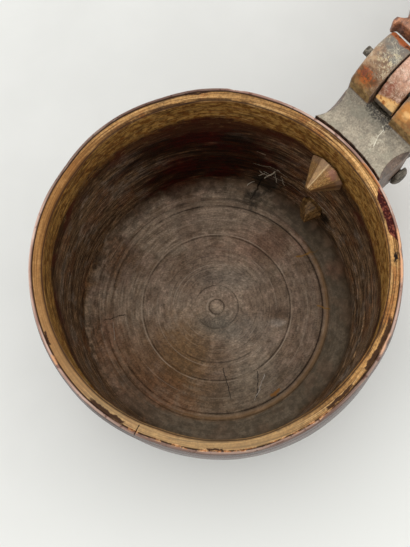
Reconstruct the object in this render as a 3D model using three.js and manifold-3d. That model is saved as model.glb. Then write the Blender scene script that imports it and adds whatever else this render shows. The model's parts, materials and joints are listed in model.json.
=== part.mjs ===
// Lidded wooden tankard: a turned vessel, a carved handle pegged to it, and a lid on a wooden hinge.
// Millimetres, +Z up. The origin is the centre of the base's underside and the handle points along +X.
// The lid is swung fully open, over the back of the handle.
import * as THREE from "three";
import { mergeVertices } from "three/addons/utils/BufferGeometryUtils.js";
import Module from "manifold-3d";

const wasm = await Module();
wasm.setup();

// Vessel
const bodyHeight = 119;
const mouthBore = 73.9;
const lipWidth = 6.1;
const bellySwell = 3.6;
const shoulderSwell = 1.2;
const heelInset = 2.6;
const boreSwell = 3;
const boreTaper = 0.7;
const footHeight = 9;
const footBulge = 1.6;
const floorThickness = 12;
const floorCorner = 7;
const shoulderDrop = 14;
const mouthBeadDrop = 8.5;
const mouthBeadHeight = 3.6;
const mouthBeadBulge = 0.7;
const crestWidth = 1.1;
const crestHeight = 0.3;
const lipStep = 0.8;
const turnedLine = 1.2;
const turnedLineDepth = 0.5;

// Rings turned in the floor, by radius
const floorBandOuter = 63.4;
const floorBandInner = 59.6;
const floorBandRise = 0.35;
const floorRing = 41.3;
const floorInnerRing = 29;
const floorDish = 12;
const floorDishDepth = 0.6;
const centreMark = 1.3;

// Handle
const seatGap = 0.4;
const saddleDrop = 1.5;
const neckHalfWidth = 20.5;
const neckHeight = 38;
const neckEase = 3;
const scoopDepth = 3;
const scoopHeight = 9;
const scoopLength = 19.5;
const gripReach = 30.5;
const gripThickness = 13.4;
const gripHalfWidth = 14;
const gripEase = 4;
const gripBend = 13;
const lowerBlockHeight = 21;
const tailReach = 35.5;
const tailFlare = 3;
const tailHeight = 8.5;

// Hinge
const pinReach = 28;
const pinRise = 11;
const pinRadius = 2.3;
const pinRunningGap = 0.35;
const pinLeftStub = 3.5;
const pinRightStub = 0.8;
const earReach = 12;
const backReach = 13.6;
const earRise = 8.6;
const earFrontHeight = 6;
const earCrownStart = 2;
const earCrownEnd = 8.5;
const earBackDrop = 1.6;
const earHalfWidth = 21.5;
const earSideHeight = 5;
const earEase = 0.8;
const knuckleWidth = 11.2;
const knuckleOffset = 2.6;
const knuckleTailReach = 9.2;
const knuckleTailRise = 12.1;
const knuckleRoot = 2;
const knuckleEase = 0.4;
const slotGapLeft = 0.4;
const slotGapRight = 1.2;
const swingGap = 0.9;
const tongueSwingGap = 0.8;

// Pegs
const upperHeadRadius = 10.8;
const lowerHeadRadius = 7.4;
const pegHeadLength = 13.4;
const pegCollar = 1;
const pegTipRadius = 1.8;
const pegShankRadius = 6;
const pegBoreGap = 0.3;
const pegSeatGap = 0.6;
const pegEmbedment = 20;
const upperPegDrop = 30;
const upperPegOffset = 2.6;
const lowerPegHeight = 31;
const lowerPegOffset = 3.6;
const crossPegReach = 14;
const crossPegRadius = 3;
const crossPegDomeRadius = 5.2;
const crossPegDomeHeight = 3.6;
const crossPegTail = 12;

// Lid
const lidSeatGap = 0.3;
const lidOverhang = 2;
const lidEdge = 5;
const lidEdgeBulge = 1;
const lidCoveWidth = 7.5;
const lidCoveHeight = 9.7;
const lidBead = 4;
const lidBeadRise = 0.8;
const lidFieldRise = 2.8;
const lidBossRadius = 24;
const lidCrown = 16;
const lidCeiling = 4;
const plugDepth = 3.8;
const plugGap = 1;
const plugWidth = 8;
const tongueThickness = 9;
const tongueEase = 0.8;
const tongueWaistHalfWidth = 21.4;
const tongueWaistLength = 4.6;
const tongueFlare = 11;
const tongueFlareBend = 2;
const knobRadius = 1.4;
const knobReach = 2.4;
const knobGap = 0.3;
const thumbStopGap = 0.5;
const thumbThickness = 9;
const thumbHeight = 29;
const thumbHalfWidth = 15;
const thumbEase = 1.2;
const thumbTenonRadius = 3;
const thumbTenonLength = 6;

// Meshing and small clearances
const turnedSegments = 64;
const roundSegments = 24;
const headFacets = 8;
const jointGap = 0.3;
const cutMargin = 10;

// Places worked out from the sizes above
const rimRadius = mouthBore + lipWidth;
const bellyRadius = rimRadius + bellySwell;
const shoulderRadius = rimRadius + shoulderSwell;
const heelRadius = rimRadius - heelInset;
const floorBore = mouthBore + boreTaper;
const wallX = bellyRadius + seatGap;
const pinX = wallX + pinReach;
const pinZ = bodyHeight + pinRise;
const saddleZ = bodyHeight - saddleDrop;
const neckBottomZ = saddleZ - neckHeight;
const shoulderZ = bodyHeight - shoulderDrop;
const heelZ = footHeight + turnedLine;
const lowerBlockTopZ = lowerPegHeight + lowerBlockHeight / 2;
const lowerBlockBottomZ = lowerPegHeight - lowerBlockHeight / 2;
const gripInnerX = wallX + gripReach;
const gripOuterX = gripInnerX + gripThickness;
const backX = pinX + backReach;
const upperPegZ = bodyHeight - upperPegDrop;
const crossPegX = wallX + crossPegReach;
const tongueEdge = backReach + tongueSwingGap;
const lidRadius = rimRadius + lidOverhang;
const lidSeat = lidSeatGap - pinRise;
const tongueTop = lidSeat + tongueThickness;

// A closed manifold-3d solid from a three.js geometry.
function solid(geometry) {
  const bare = geometry.clone();
  bare.deleteAttribute("normal");
  bare.deleteAttribute("uv");
  const merged = mergeVertices(bare, 1e-4);
  const corners = merged.index.array;
  const triVerts = [];
  for (let i = 0; i < corners.length; i += 3) {
    const [a, b, c] = [corners[i], corners[i + 1], corners[i + 2]];
    if (a !== b && b !== c && c !== a) triVerts.push(a, b, c);
  }
  return new wasm.Manifold(
    new wasm.Mesh({
      numProp: 3,
      vertProperties: merged.attributes.position.array,
      triVerts: new Uint32Array(triVerts),
    }),
  );
}

// A named mesh from a manifold-3d solid.
function mesh(name, shape, material) {
  const result = shape.getMesh();
  const geometry = new THREE.BufferGeometry();
  geometry.setAttribute("position", new THREE.BufferAttribute(result.vertProperties, 3));
  geometry.setIndex(new THREE.BufferAttribute(result.triVerts, 1));
  geometry.computeVertexNormals();
  const made = new THREE.Mesh(geometry, material);
  made.name = name;
  return made;
}

// A profile of (radius, height) turned about the Z axis.
function turned(path, segments = turnedSegments, divisions = 4) {
  const geometry = new THREE.LatheGeometry(path.getPoints(divisions), segments);
  return geometry.rotateX(Math.PI / 2);
}

// An outline extruded upwards from low to high, with an even ease on its edges.
function raised(outline, low, high, ease = 0, divisions = 8) {
  const geometry = new THREE.ExtrudeGeometry(outline, {
    depth: high - low - 2 * ease,
    bevelEnabled: ease > 0,
    bevelThickness: ease,
    bevelSize: ease,
    bevelOffset: -ease,
    bevelSegments: 1,
    curveSegments: divisions,
  });
  return geometry.translate(0, 0, low + ease);
}

// An outline in (x, z), extruded across the handle from -halfWidth to +halfWidth.
function across(outline, halfWidth, ease = 0, divisions = 8) {
  const geometry = raised(outline, -halfWidth, halfWidth, ease, divisions);
  return geometry.rotateX(Math.PI / 2);
}

// An outline in (y, z), extruded along X from low to high.
function alongX(outline, low, high, ease = 0, divisions = 8) {
  const geometry = raised(outline, low, high, ease, divisions);
  return geometry.rotateX(Math.PI / 2).rotateZ(Math.PI / 2);
}

// A round bar along X, from one x to another.
function barX(radius, fromX, toX, y, z, segments = roundSegments) {
  const geometry = new THREE.CylinderGeometry(radius, radius, toX - fromX, segments);
  return geometry.rotateZ(Math.PI / 2).translate((fromX + toX) / 2, y, z);
}

// A round bar along Y, from one y to another.
function barY(radius, fromY, toY, x, z, segments = roundSegments) {
  const geometry = new THREE.CylinderGeometry(radius, radius, toY - fromY, segments);
  return geometry.translate(x, (fromY + toY) / 2, z);
}

// A block between two corners.
function block(low, high) {
  const [x, y, z] = high.map((value, i) => value - low[i]);
  const geometry = new THREE.BoxGeometry(x, y, z);
  return geometry.translate(low[0] + x / 2, low[1] + y / 2, low[2] + z / 2);
}

// Radius of the quadratic control point that makes a curve from one radius to another swell to a third.
function swellControl(swell, from, to) {
  return 2 * swell - (from + to) / 2;
}

// The swell of the vessel's outside from heel to shoulder.
function addBelly(path, offset) {
  const controlRadius = swellControl(bellyRadius, heelRadius, shoulderRadius) + offset;
  const controlZ = (heelZ + shoulderZ) / 2;
  path.quadraticCurveTo(controlRadius, controlZ, shoulderRadius + offset, shoulderZ);
}

// A narrow V-shaped line cut into an upright outside face, starting at height z.
function addWallLine(path, radius, z) {
  path.lineTo(radius, z);
  path.lineTo(radius - turnedLineDepth, z + turnedLine / 2);
  path.lineTo(radius, z + turnedLine);
}

// A narrow V-shaped line cut into the floor, crossed from outside to inside.
function addFloorLine(path, radius, z, depth) {
  path.lineTo(radius + turnedLine / 2, z);
  path.lineTo(radius, z - depth);
  path.lineTo(radius - turnedLine / 2, z);
}

// Outside of the vessel, from the middle of its base to the crest.
function addOutside(path) {
  const line = turnedLine;
  const beadZ = bodyHeight - mouthBeadDrop;
  const beadTopZ = beadZ + mouthBeadHeight;
  const beadEdge = shoulderRadius - turnedLineDepth;
  const hollowRadius = rimRadius + mouthBeadBulge / 2;
  const footEdge = heelRadius - footBulge / 2;
  path.moveTo(0, 0);
  path.lineTo(footEdge, 0);
  path.quadraticCurveTo(footEdge + 2 * footBulge, footHeight / 2, footEdge, footHeight);
  path.lineTo(heelRadius - turnedLineDepth, footHeight);
  path.lineTo(heelRadius, heelZ);
  addBelly(path, 0);
  addWallLine(path, shoulderRadius, shoulderZ + line);
  addWallLine(path, shoulderRadius, shoulderZ + 2.7 * line);
  path.lineTo(beadEdge, beadZ);
  path.quadraticCurveTo(beadEdge + 2 * mouthBeadBulge, (beadZ + beadTopZ) / 2, beadEdge, beadTopZ);
  path.quadraticCurveTo(hollowRadius, bodyHeight - 2 * crestWidth, rimRadius, bodyHeight - crestHeight);
  path.lineTo(rimRadius - crestHeight, bodyHeight);
}

// The lip, from the crest over a fine groove and a flat to the mouth of the bore.
function addLip(path) {
  const lipZ = bodyHeight - crestHeight;
  const grooveRadius = rimRadius - crestWidth - crestHeight;
  const mouthZ = lipZ - 2 * lipStep;
  path.lineTo(rimRadius - crestWidth, bodyHeight);
  path.lineTo(grooveRadius, lipZ - turnedLineDepth);
  path.lineTo(grooveRadius - crestHeight, lipZ);
  path.lineTo(mouthBore + 1.4 * lipStep, lipZ);
  path.lineTo(mouthBore + lipStep, lipZ - 0.7 * lipStep);
  path.lineTo(mouthBore + 0.4 * lipStep, lipZ - lipStep);
  path.lineTo(mouthBore, mouthZ);
}

// Inside of the vessel, from its mouth to the middle of the floor.
function addInside(path) {
  const floorZ = floorThickness;
  const control = swellControl(mouthBore + boreSwell, mouthBore, floorBore);
  path.quadraticCurveTo(control, (bodyHeight + floorZ) / 2, floorBore, floorZ + floorCorner);
  path.quadraticCurveTo(floorBore, floorZ, floorBore - floorCorner, floorZ);
  addFloorLine(path, floorBandOuter, floorZ, turnedLineDepth);
  path.lineTo(floorBandOuter - turnedLine, floorZ + floorBandRise);
  path.lineTo(floorBandInner + turnedLine, floorZ + floorBandRise);
  addFloorLine(path, floorBandInner, floorZ, turnedLineDepth);
  addFloorLine(path, floorRing, floorZ, turnedLineDepth * 0.6);
  addFloorLine(path, floorInnerRing, floorZ, turnedLineDepth * 0.4);
  path.lineTo(floorDish, floorZ);
  path.quadraticCurveTo(floorDish / 2, floorZ - floorDishDepth, centreMark, floorZ - floorDishDepth);
  path.lineTo(0, floorZ - floorDishDepth - centreMark / 2);
}

// The vessel, turned in one piece and drilled for the two handle pegs.
function makeBody() {
  const path = new THREE.Path();
  addOutside(path);
  addLip(path);
  addInside(path);
  return solid(turned(path))
    .subtract(pegBore(upperPegZ, upperPegOffset))
    .subtract(pegBore(lowerPegHeight, lowerPegOffset));
}

// The hole that a handle peg passes through, from inside the vessel into the handle.
function pegBore(z, offset) {
  const radius = pegShankRadius + pegBoreGap;
  return solid(barX(radius, mouthBore - cutMargin, wallX + pegEmbedment + jointGap, offset, z));
}

// The space that the vessel takes up, with the gap that the handle keeps to it.
function makeSeat() {
  const path = new THREE.Path();
  path.moveTo(0, -cutMargin);
  path.lineTo(heelRadius + seatGap, -cutMargin);
  path.lineTo(heelRadius + seatGap, heelZ);
  addBelly(path, seatGap);
  path.lineTo(shoulderRadius + seatGap, bodyHeight + cutMargin);
  path.lineTo(0, bodyHeight + cutMargin);
  return solid(turned(path, turnedSegments, 12));
}

// Plan of the neck: parallel at the vessel, then drawn in to the width of the grip.
function neckPlan() {
  const startX = mouthBore;
  const taperX = crossPegX;
  const endX = gripInnerX;
  const bendX = (taperX + endX) / 2;
  const bendHalfWidth = neckHalfWidth - neckEase / 3;
  const plan = new THREE.Shape();
  plan.moveTo(startX, -neckHalfWidth);
  plan.lineTo(taperX, -neckHalfWidth);
  plan.quadraticCurveTo(bendX, -bendHalfWidth, endX, -gripHalfWidth);
  plan.lineTo(endX, gripHalfWidth);
  plan.quadraticCurveTo(bendX, bendHalfWidth, taperX, neckHalfWidth);
  plan.lineTo(startX, neckHalfWidth);
  return plan;
}

// A hollow scooped out of one top edge of the neck: a leaning cone that fades out downwards.
function neckScoop(side) {
  const chord = scoopLength / 2;
  const topRadius = (chord * chord + scoopDepth * scoopDepth) / (2 * scoopDepth);
  const bottomRadius = topRadius - scoopDepth;
  const centreX = wallX + scoopLength / 4;
  const centreY = neckHalfWidth + bottomRadius;
  const growth = scoopDepth / scoopHeight;
  const radiusAbove = topRadius + growth * cutMargin;
  const cone = new THREE.CylinderGeometry(
    radiusAbove,
    bottomRadius,
    scoopHeight + cutMargin,
    2 * roundSegments,
  );
  cone.rotateX(Math.PI / 2);
  cone.translate(centreX, side * centreY, saddleZ - scoopHeight + (scoopHeight + cutMargin) / 2);
  return solid(cone);
}

// The neck: a block whose flat top is the saddle under the lid's tongue.
function makeNeck() {
  const neck = solid(raised(neckPlan(), neckBottomZ, saddleZ + neckEase, neckEase));
  const aboveSaddle = block(
    [0, -neckHalfWidth - cutMargin, saddleZ],
    [gripOuterX, neckHalfWidth + cutMargin, saddleZ + neckEase + cutMargin],
  );
  return neck.subtract(solid(aboveSaddle)).subtract(neckScoop(1)).subtract(neckScoop(-1));
}

// Side view of the hinge ears: an upright front, a back-swept face, a flat crown, and a back whose two
// corners lie on the circle that the lid's tongue clears.
function earOutline() {
  const bottomZ = saddleZ - neckHeight / 2;
  const frontX = pinX - earReach;
  const frontTopZ = saddleZ + earFrontHeight;
  const crownX = pinX + earCrownStart;
  const crownZ = pinZ + earRise;
  const bendX = frontX + (crownX - frontX) * 0.4;
  const bendZ = frontTopZ + (crownZ - frontTopZ) * 0.73;
  const cornerRise = earRise - earBackDrop;
  const outline = new THREE.Shape();
  outline.moveTo(frontX, bottomZ);
  outline.lineTo(frontX, frontTopZ);
  outline.quadraticCurveTo(bendX, bendZ, crownX, crownZ);
  outline.lineTo(pinX + earCrownEnd, crownZ);
  outline.lineTo(pinX + Math.sqrt(backReach ** 2 - cornerRise ** 2), pinZ + cornerRise);
  outline.lineTo(backX, pinZ);
  outline.lineTo(backX, bottomZ);
  return outline;
}

// Back view of the hinge block: as wide as the ears on top, drawn in to the grip below.
function hingeBlockFront() {
  const topZ = pinZ + earRise + cutMargin;
  const straightZ = saddleZ - earSideHeight;
  const bottomZ = saddleZ - neckHeight / 2 - cutMargin;
  const waistZ = straightZ - 2 * (earHalfWidth - gripHalfWidth);
  const bendZ = straightZ + (waistZ - straightZ) * 0.65;
  const outline = new THREE.Shape();
  outline.moveTo(-earHalfWidth, topZ);
  outline.lineTo(-earHalfWidth, straightZ);
  outline.quadraticCurveTo(-earHalfWidth, bendZ, -gripHalfWidth, waistZ);
  outline.lineTo(-gripHalfWidth, bottomZ);
  outline.lineTo(gripHalfWidth, bottomZ);
  outline.lineTo(gripHalfWidth, waistZ);
  outline.quadraticCurveTo(earHalfWidth, bendZ, earHalfWidth, straightZ);
  outline.lineTo(earHalfWidth, topZ);
  return outline;
}

// Hinge block with its two ears still joined.
function makeHingeBlock() {
  const ears = solid(across(earOutline(), earHalfWidth, earEase));
  const front = solid(alongX(hingeBlockFront(), pinX - earReach - cutMargin, backX + cutMargin));
  return ears.intersect(front);
}

// Side view of the grip's back, from the hinge block down to the tip of the tail.
function addGripBack(outline, hingeZ, middleZ) {
  const tailX = wallX + tailReach;
  const slimX = tailX - tailFlare;
  const tailRound = 1.75 * gripEase;
  const swellZ = middleZ + gripBend;
  const slimZ = lowerPegHeight - gripBend / 2;
  const tailZ = tailHeight + tailRound;
  outline.moveTo(backX, hingeZ);
  outline.lineTo(backX, hingeZ - gripBend);
  outline.bezierCurveTo(
    backX, hingeZ - 1.6 * gripBend, gripOuterX, swellZ + gripBend, gripOuterX, swellZ,
  );
  outline.bezierCurveTo(
    gripOuterX, middleZ - gripBend, slimX, slimZ + gripBend, slimX, slimZ,
  );
  outline.bezierCurveTo(
    slimX, tailZ + 0.6 * tailRound, tailX, tailZ + 0.4 * tailRound, tailX, tailZ,
  );
  outline.quadraticCurveTo(tailX, tailHeight, tailX - tailRound, tailHeight);
}

// Side view of the grip: its back, the lower block, and the opening for the fingers.
function gripOutline() {
  const hingeZ = saddleZ - 3 * jointGap;
  const middleZ = (neckBottomZ + lowerBlockTopZ) / 2;
  const halfGap = (neckBottomZ - lowerBlockTopZ) / 2;
  const tailEndX = wallX + tailReach - 2 * gripEase - 1.4 * gripEase;
  const upperTurnX = wallX + gripReach / 2;
  const lowerTurnX = wallX + gripReach / 4;
  const outline = new THREE.Shape();
  addGripBack(outline, hingeZ, middleZ);
  outline.bezierCurveTo(tailEndX, tailHeight, tailEndX, lowerBlockBottomZ, lowerTurnX, lowerBlockBottomZ);
  outline.lineTo(mouthBore, lowerBlockBottomZ);
  outline.lineTo(mouthBore, lowerBlockTopZ);
  outline.lineTo(lowerTurnX, lowerBlockTopZ);
  outline.bezierCurveTo(
    wallX + 0.7 * gripReach, lowerBlockTopZ, gripInnerX, middleZ - 0.6 * halfGap, gripInnerX, middleZ,
  );
  outline.bezierCurveTo(
    gripInnerX, middleZ + 0.7 * halfGap, wallX + 0.8 * gripReach, neckBottomZ, upperTurnX, neckBottomZ,
  );
  outline.lineTo(upperTurnX, hingeZ);
  return outline;
}

// The space in which the lid's knuckle swings between the ears.
function makeSlot() {
  const left = knuckleOffset + knuckleWidth / 2 + slotGapLeft;
  const right = knuckleOffset - knuckleWidth / 2 - slotGapRight;
  const swingRadius = Math.hypot(knuckleTailReach, knuckleTailRise) + swingGap;
  const frontX = pinX - earReach - cutMargin;
  const front = block([frontX, right, saddleZ], [pinX, left, pinZ]);
  const above = block([frontX, right, pinZ], [backX + cutMargin, left, pinZ + earRise + cutMargin]);
  return solid(barY(swingRadius, right, left, pinX, pinZ, 2 * roundSegments))
    .add(solid(front))
    .add(solid(above));
}

// Handle: neck, hinge block and grip in one, cut to fit the vessel, the lid, the pin and the pegs.
function makeHandle() {
  const boreEnd = earHalfWidth + cutMargin;
  const pinBore = barY(pinRadius + jointGap, -boreEnd, boreEnd, pinX, pinZ);
  return makeNeck()
    .add(makeHingeBlock())
    .add(solid(across(gripOutline(), gripHalfWidth, gripEase)))
    .subtract(makeSeat())
    .subtract(makeSlot())
    .subtract(solid(pinBore))
    .subtract(pegBore(upperPegZ, upperPegOffset))
    .subtract(pegBore(lowerPegHeight, lowerPegOffset))
    .subtract(crossPegBore());
}

// The blind hole of the cross peg, through the neck and the upper peg.
function crossPegBore() {
  const radius = crossPegRadius + pegBoreGap;
  const blindEnd = crossPegTail + jointGap;
  return solid(barY(radius, -neckHalfWidth - cutMargin, blindEnd, crossPegX, upperPegZ, 16));
}

// Radius of the vessel's inside at a height, as its curve gives it.
function boreAt(height) {
  const top = bodyHeight - crestHeight - 2 * lipStep;
  const bottom = floorThickness + floorCorner;
  const t = (top - height) / (top - bottom);
  const control = swellControl(mouthBore + boreSwell, mouthBore, floorBore);
  return (1 - t) ** 2 * mouthBore + 2 * t * (1 - t) * control + t * t * floorBore;
}

// A handle peg: a faceted, pointed head inside the vessel and a round shank that ends in the handle.
function makeHandlePeg(headRadius, z, offset) {
  const reach = headRadius + Math.abs(offset);
  const headBackX = Math.sqrt(boreAt(z) ** 2 - reach ** 2) - pegSeatGap;
  const coneLength = pegHeadLength - pegCollar;
  const halfFacet = Math.PI / headFacets;
  const collar = new THREE.CylinderGeometry(headRadius, headRadius, pegCollar, headFacets);
  const cone = new THREE.CylinderGeometry(headRadius, pegTipRadius, coneLength, headFacets);
  collar.rotateY(halfFacet).rotateZ(-Math.PI / 2).translate(headBackX - pegCollar / 2, offset, z);
  cone.rotateY(halfFacet).rotateZ(-Math.PI / 2);
  cone.translate(headBackX - pegCollar - coneLength / 2, offset, z);
  const shank = barX(pegShankRadius, headBackX - pegCollar / 2, wallX + pegEmbedment, offset, z);
  return solid(collar).add(solid(cone)).add(solid(shank));
}

// The cross peg: a low domed head on the right of the neck and a shank that locks the upper peg.
function makeCrossPeg() {
  const headY = -neckHalfWidth - jointGap;
  const dome = new THREE.Path();
  dome.moveTo(0, -crossPegDomeHeight);
  dome.quadraticCurveTo(crossPegDomeRadius, -crossPegDomeHeight, crossPegDomeRadius, 0);
  dome.lineTo(0, 0);
  const head = turned(dome, 16, 4).rotateX(-Math.PI / 2).translate(crossPegX, headY, upperPegZ);
  const shank = barY(crossPegRadius, headY - 1, crossPegTail, crossPegX, upperPegZ, 16);
  return solid(head).add(solid(shank));
}

// The hinge pin, driven through both ears; it stands proud on the left.
function makeHingePin() {
  const fromY = -earHalfWidth - pinRightStub;
  const toY = earHalfWidth + pinLeftStub;
  return solid(barY(pinRadius, fromY, toY, pinX, pinZ, 16));
}

// The lid's disc, in its closed attitude with the pin's axis as origin.
function makeLidDisc() {
  const plugRadius = mouthBore - plugGap;
  const plugInner = plugRadius - plugWidth;
  const plugBottom = lidSeat - plugDepth;
  const plugChamfer = plugGap * 0.8;
  const ceiling = lidSeat + lidCeiling;
  const edgeTop = lidSeat + lidEdge;
  const coveTop = lidSeat + lidCoveHeight;
  const coveRadius = lidRadius - lidEdge / 2 - lidCoveWidth;
  const beadRadius = coveRadius - lidBead / 2;
  const fieldRadius = beadRadius - lidBead;
  const fieldTop = coveTop + lidFieldRise;
  const path = new THREE.Path();
  path.moveTo(0, ceiling);
  path.lineTo(plugInner - plugGap, ceiling);
  path.lineTo(plugInner, plugBottom);
  path.lineTo(plugRadius - plugChamfer, plugBottom);
  path.lineTo(plugRadius, plugBottom + plugChamfer);
  path.lineTo(plugRadius, lidSeat);
  path.lineTo(lidRadius - lidEdgeBulge, lidSeat);
  path.quadraticCurveTo(lidRadius + lidEdgeBulge, lidSeat + lidEdge / 2, lidRadius - lidEdgeBulge, edgeTop);
  path.lineTo(lidRadius - lidEdge / 2, edgeTop);
  path.quadraticCurveTo(coveRadius + lidBead / 4, edgeTop, coveRadius, coveTop);
  path.lineTo(beadRadius, coveTop);
  path.quadraticCurveTo(beadRadius - lidBead / 2, coveTop + 2 * lidBeadRise, fieldRadius, coveTop);
  path.lineTo(lidBossRadius + lidBead, fieldTop);
  path.quadraticCurveTo(lidBossRadius + lidBead / 2, fieldTop + 2 * lidBeadRise, lidBossRadius, fieldTop);
  path.lineTo(lidBossRadius - lidBead, fieldTop);
  path.quadraticCurveTo(lidBossRadius * 0.4, lidSeat + lidCrown, 0, lidSeat + lidCrown);
  return solid(turned(path).translate(-pinX, 0, 0));
}

// Half of the plan of the lid's tongue, from the middle of its hinge end to the disc: a knob that passes
// outside the ear, a waist, and a fillet into the disc. The side is 1 or -1.
function tongueSide(side) {
  const knobX = knobReach - tongueEdge - knobRadius;
  const knobY = earHalfWidth + knobGap + knobRadius;
  const knobSide = knobY + knobRadius;
  const waistX = -tongueEdge - tongueWaistLength;
  const filletHalfWidth = tongueWaistHalfWidth + tongueFlare;
  const filletX = Math.sqrt(lidRadius ** 2 - filletHalfWidth ** 2) - pinX;
  const half = new THREE.Path();
  half.moveTo(-tongueEdge, 0);
  half.lineTo(-tongueEdge, knobY - knobRadius);
  half.absarc(knobX, knobY, knobRadius, -Math.PI / 2, Math.PI / 2, false);
  half.lineTo(-tongueEdge - knobRadius, knobSide);
  half.quadraticCurveTo(waistX + knobRadius, tongueWaistHalfWidth, waistX, tongueWaistHalfWidth);
  half.quadraticCurveTo(waistX - tongueFlareBend, tongueWaistHalfWidth, filletX, filletHalfWidth);
  half.lineTo(filletX - cutMargin, filletHalfWidth);
  const points = half.getPoints(4);
  return points.map((point) => new THREE.Vector2(point.x, side * point.y));
}

// Plan of the lid's tongue.
function tonguePlan() {
  const left = tongueSide(1);
  const right = tongueSide(-1).slice(1);
  return new THREE.Shape([...left, ...right.reverse()]);
}

// Side view of the knuckle, in the lid's closed attitude: its tail stands up behind the pin.
function knuckleOutline() {
  const rootX = -tongueEdge - knuckleRoot;
  const frontX = -earReach;
  const tailX = knuckleTailReach;
  const tailZ = knuckleTailRise;
  const outline = new THREE.Shape();
  outline.moveTo(rootX, lidSeat + tongueEase);
  outline.lineTo(frontX, lidSeat + tongueEase);
  outline.quadraticCurveTo(0, 0.75 * lidSeat, 0.4 * tailX, -0.3 * tailZ);
  outline.lineTo(0.76 * tailX, 0.14 * tailZ);
  outline.lineTo(tailX, 0.66 * tailZ);
  outline.lineTo(tailX, tailZ);
  outline.lineTo(-0.76 * tailX, tailZ);
  outline.quadraticCurveTo(frontX, 0.5 * tailZ, frontX, tongueTop);
  outline.lineTo(rootX, tongueTop - tongueEase);
  return outline;
}

// Lid: disc, tongue and knuckle in one, with the pin's running hole and the thumbpiece's socket.
function makeLid() {
  const tongue = raised(tonguePlan(), lidSeat, tongueTop, tongueEase, 4);
  const knuckle = across(knuckleOutline(), knuckleWidth / 2, knuckleEase, 6).translate(0, knuckleOffset, 0);
  const runningBore = barY(pinRadius + pinRunningGap, -earHalfWidth, earHalfWidth, 0, 0);
  const socket = new THREE.CylinderGeometry(
    thumbTenonRadius + jointGap,
    thumbTenonRadius + jointGap,
    thumbTenonLength + cutMargin,
    16,
  );
  socket.rotateX(Math.PI / 2);
  socket.translate(thumbX(), 0, tongueTop - thumbTenonLength + (thumbTenonLength + cutMargin) / 2);
  return makeLidDisc()
    .add(solid(tongue))
    .add(solid(knuckle))
    .subtract(solid(runningBore))
    .subtract(solid(socket));
}

// The middle of the thumbpiece's thickness; its back face meets the handle when the lid is fully open.
function thumbX() {
  return -backReach - thumbStopGap - thumbThickness / 2;
}

// Back view of the thumbpiece: a waisted stem that opens into two lobes.
function thumbOutline() {
  const base = tongueTop + jointGap;
  const height = (share) => base + share * thumbHeight;
  const lobe = (side, y) => side * y * thumbHalfWidth;
  const outline = new THREE.Shape();
  outline.moveTo(lobe(-1, 0.7), base);
  outline.lineTo(lobe(1, 0.7), base);
  outline.bezierCurveTo(lobe(1, 0.6), height(0.25), lobe(1, 0.3), height(0.3), lobe(1, 0.45), height(0.48));
  outline.bezierCurveTo(lobe(1, 0.6), height(0.62), lobe(1, 1), height(0.62), lobe(1, 1), height(0.8));
  outline.bezierCurveTo(lobe(1, 1), height(1.05), lobe(1, 0.25), height(1.08), 0, height(0.86));
  outline.bezierCurveTo(lobe(-1, 0.25), height(1.08), lobe(-1, 1), height(1.05), lobe(-1, 1), height(0.8));
  outline.bezierCurveTo(
    lobe(-1, 1), height(0.62), lobe(-1, 0.6), height(0.62), lobe(-1, 0.45), height(0.48),
  );
  outline.bezierCurveTo(lobe(-1, 0.3), height(0.3), lobe(-1, 0.6), height(0.25), lobe(-1, 0.7), base);
  return outline;
}

// Thumbpiece with the round tenon that holds it in the tongue.
function makeThumbpiece() {
  const half = thumbThickness / 2;
  const plate = alongX(thumbOutline(), thumbX() - half, thumbX() + half, thumbEase, 5);
  const length = thumbTenonLength - jointGap + thumbThickness / 2;
  const tenon = new THREE.CylinderGeometry(thumbTenonRadius, thumbTenonRadius, length, 16);
  tenon.rotateX(Math.PI / 2);
  tenon.translate(thumbX(), 0, tongueTop - thumbTenonLength + jointGap + length / 2);
  return solid(plate).add(solid(tenon));
}

// Materials
function wood(color, roughness) {
  return new THREE.MeshStandardMaterial({ color, roughness, metalness: 0 });
}
const vesselWood = wood(0x5a3a26, 0.5);
const handleWood = wood(0x7d6a55, 0.55);
const pegWood = wood(0xa9814f, 0.6);
const lidWood = wood(0x7a4a30, 0.45);

// The vessel with everything fixed to it
const tankard = new THREE.Group();
tankard.add(mesh("body", makeBody(), vesselWood));
tankard.add(mesh("handle", makeHandle(), handleWood));
const upperPeg = makeHandlePeg(upperHeadRadius, upperPegZ, upperPegOffset);
tankard.add(mesh("upper_handle_peg", upperPeg.subtract(crossPegBore()), pegWood));
const lowerPeg = makeHandlePeg(lowerHeadRadius, lowerPegHeight, lowerPegOffset);
tankard.add(mesh("lower_handle_peg", lowerPeg, pegWood));
tankard.add(mesh("neck_cross_peg", makeCrossPeg(), handleWood));
tankard.add(mesh("hinge_pin", makeHingePin(), handleWood));

// The lid, turned half a circle about the pin from its closed attitude
const openLid = new THREE.Group();
openLid.position.set(pinX, 0, pinZ);
openLid.rotation.y = Math.PI;
openLid.add(mesh("lid", makeLid(), lidWood));
openLid.add(mesh("thumbpiece", makeThumbpiece(), lidWood));
tankard.add(openLid);

export default tankard;
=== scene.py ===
"""Looks of the lidded wooden tankard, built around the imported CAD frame."""

import json
import math
from functools import partialmethod

import bmesh
import bpy
import numpy as np
from mathutils import Matrix, Vector, noise


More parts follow.
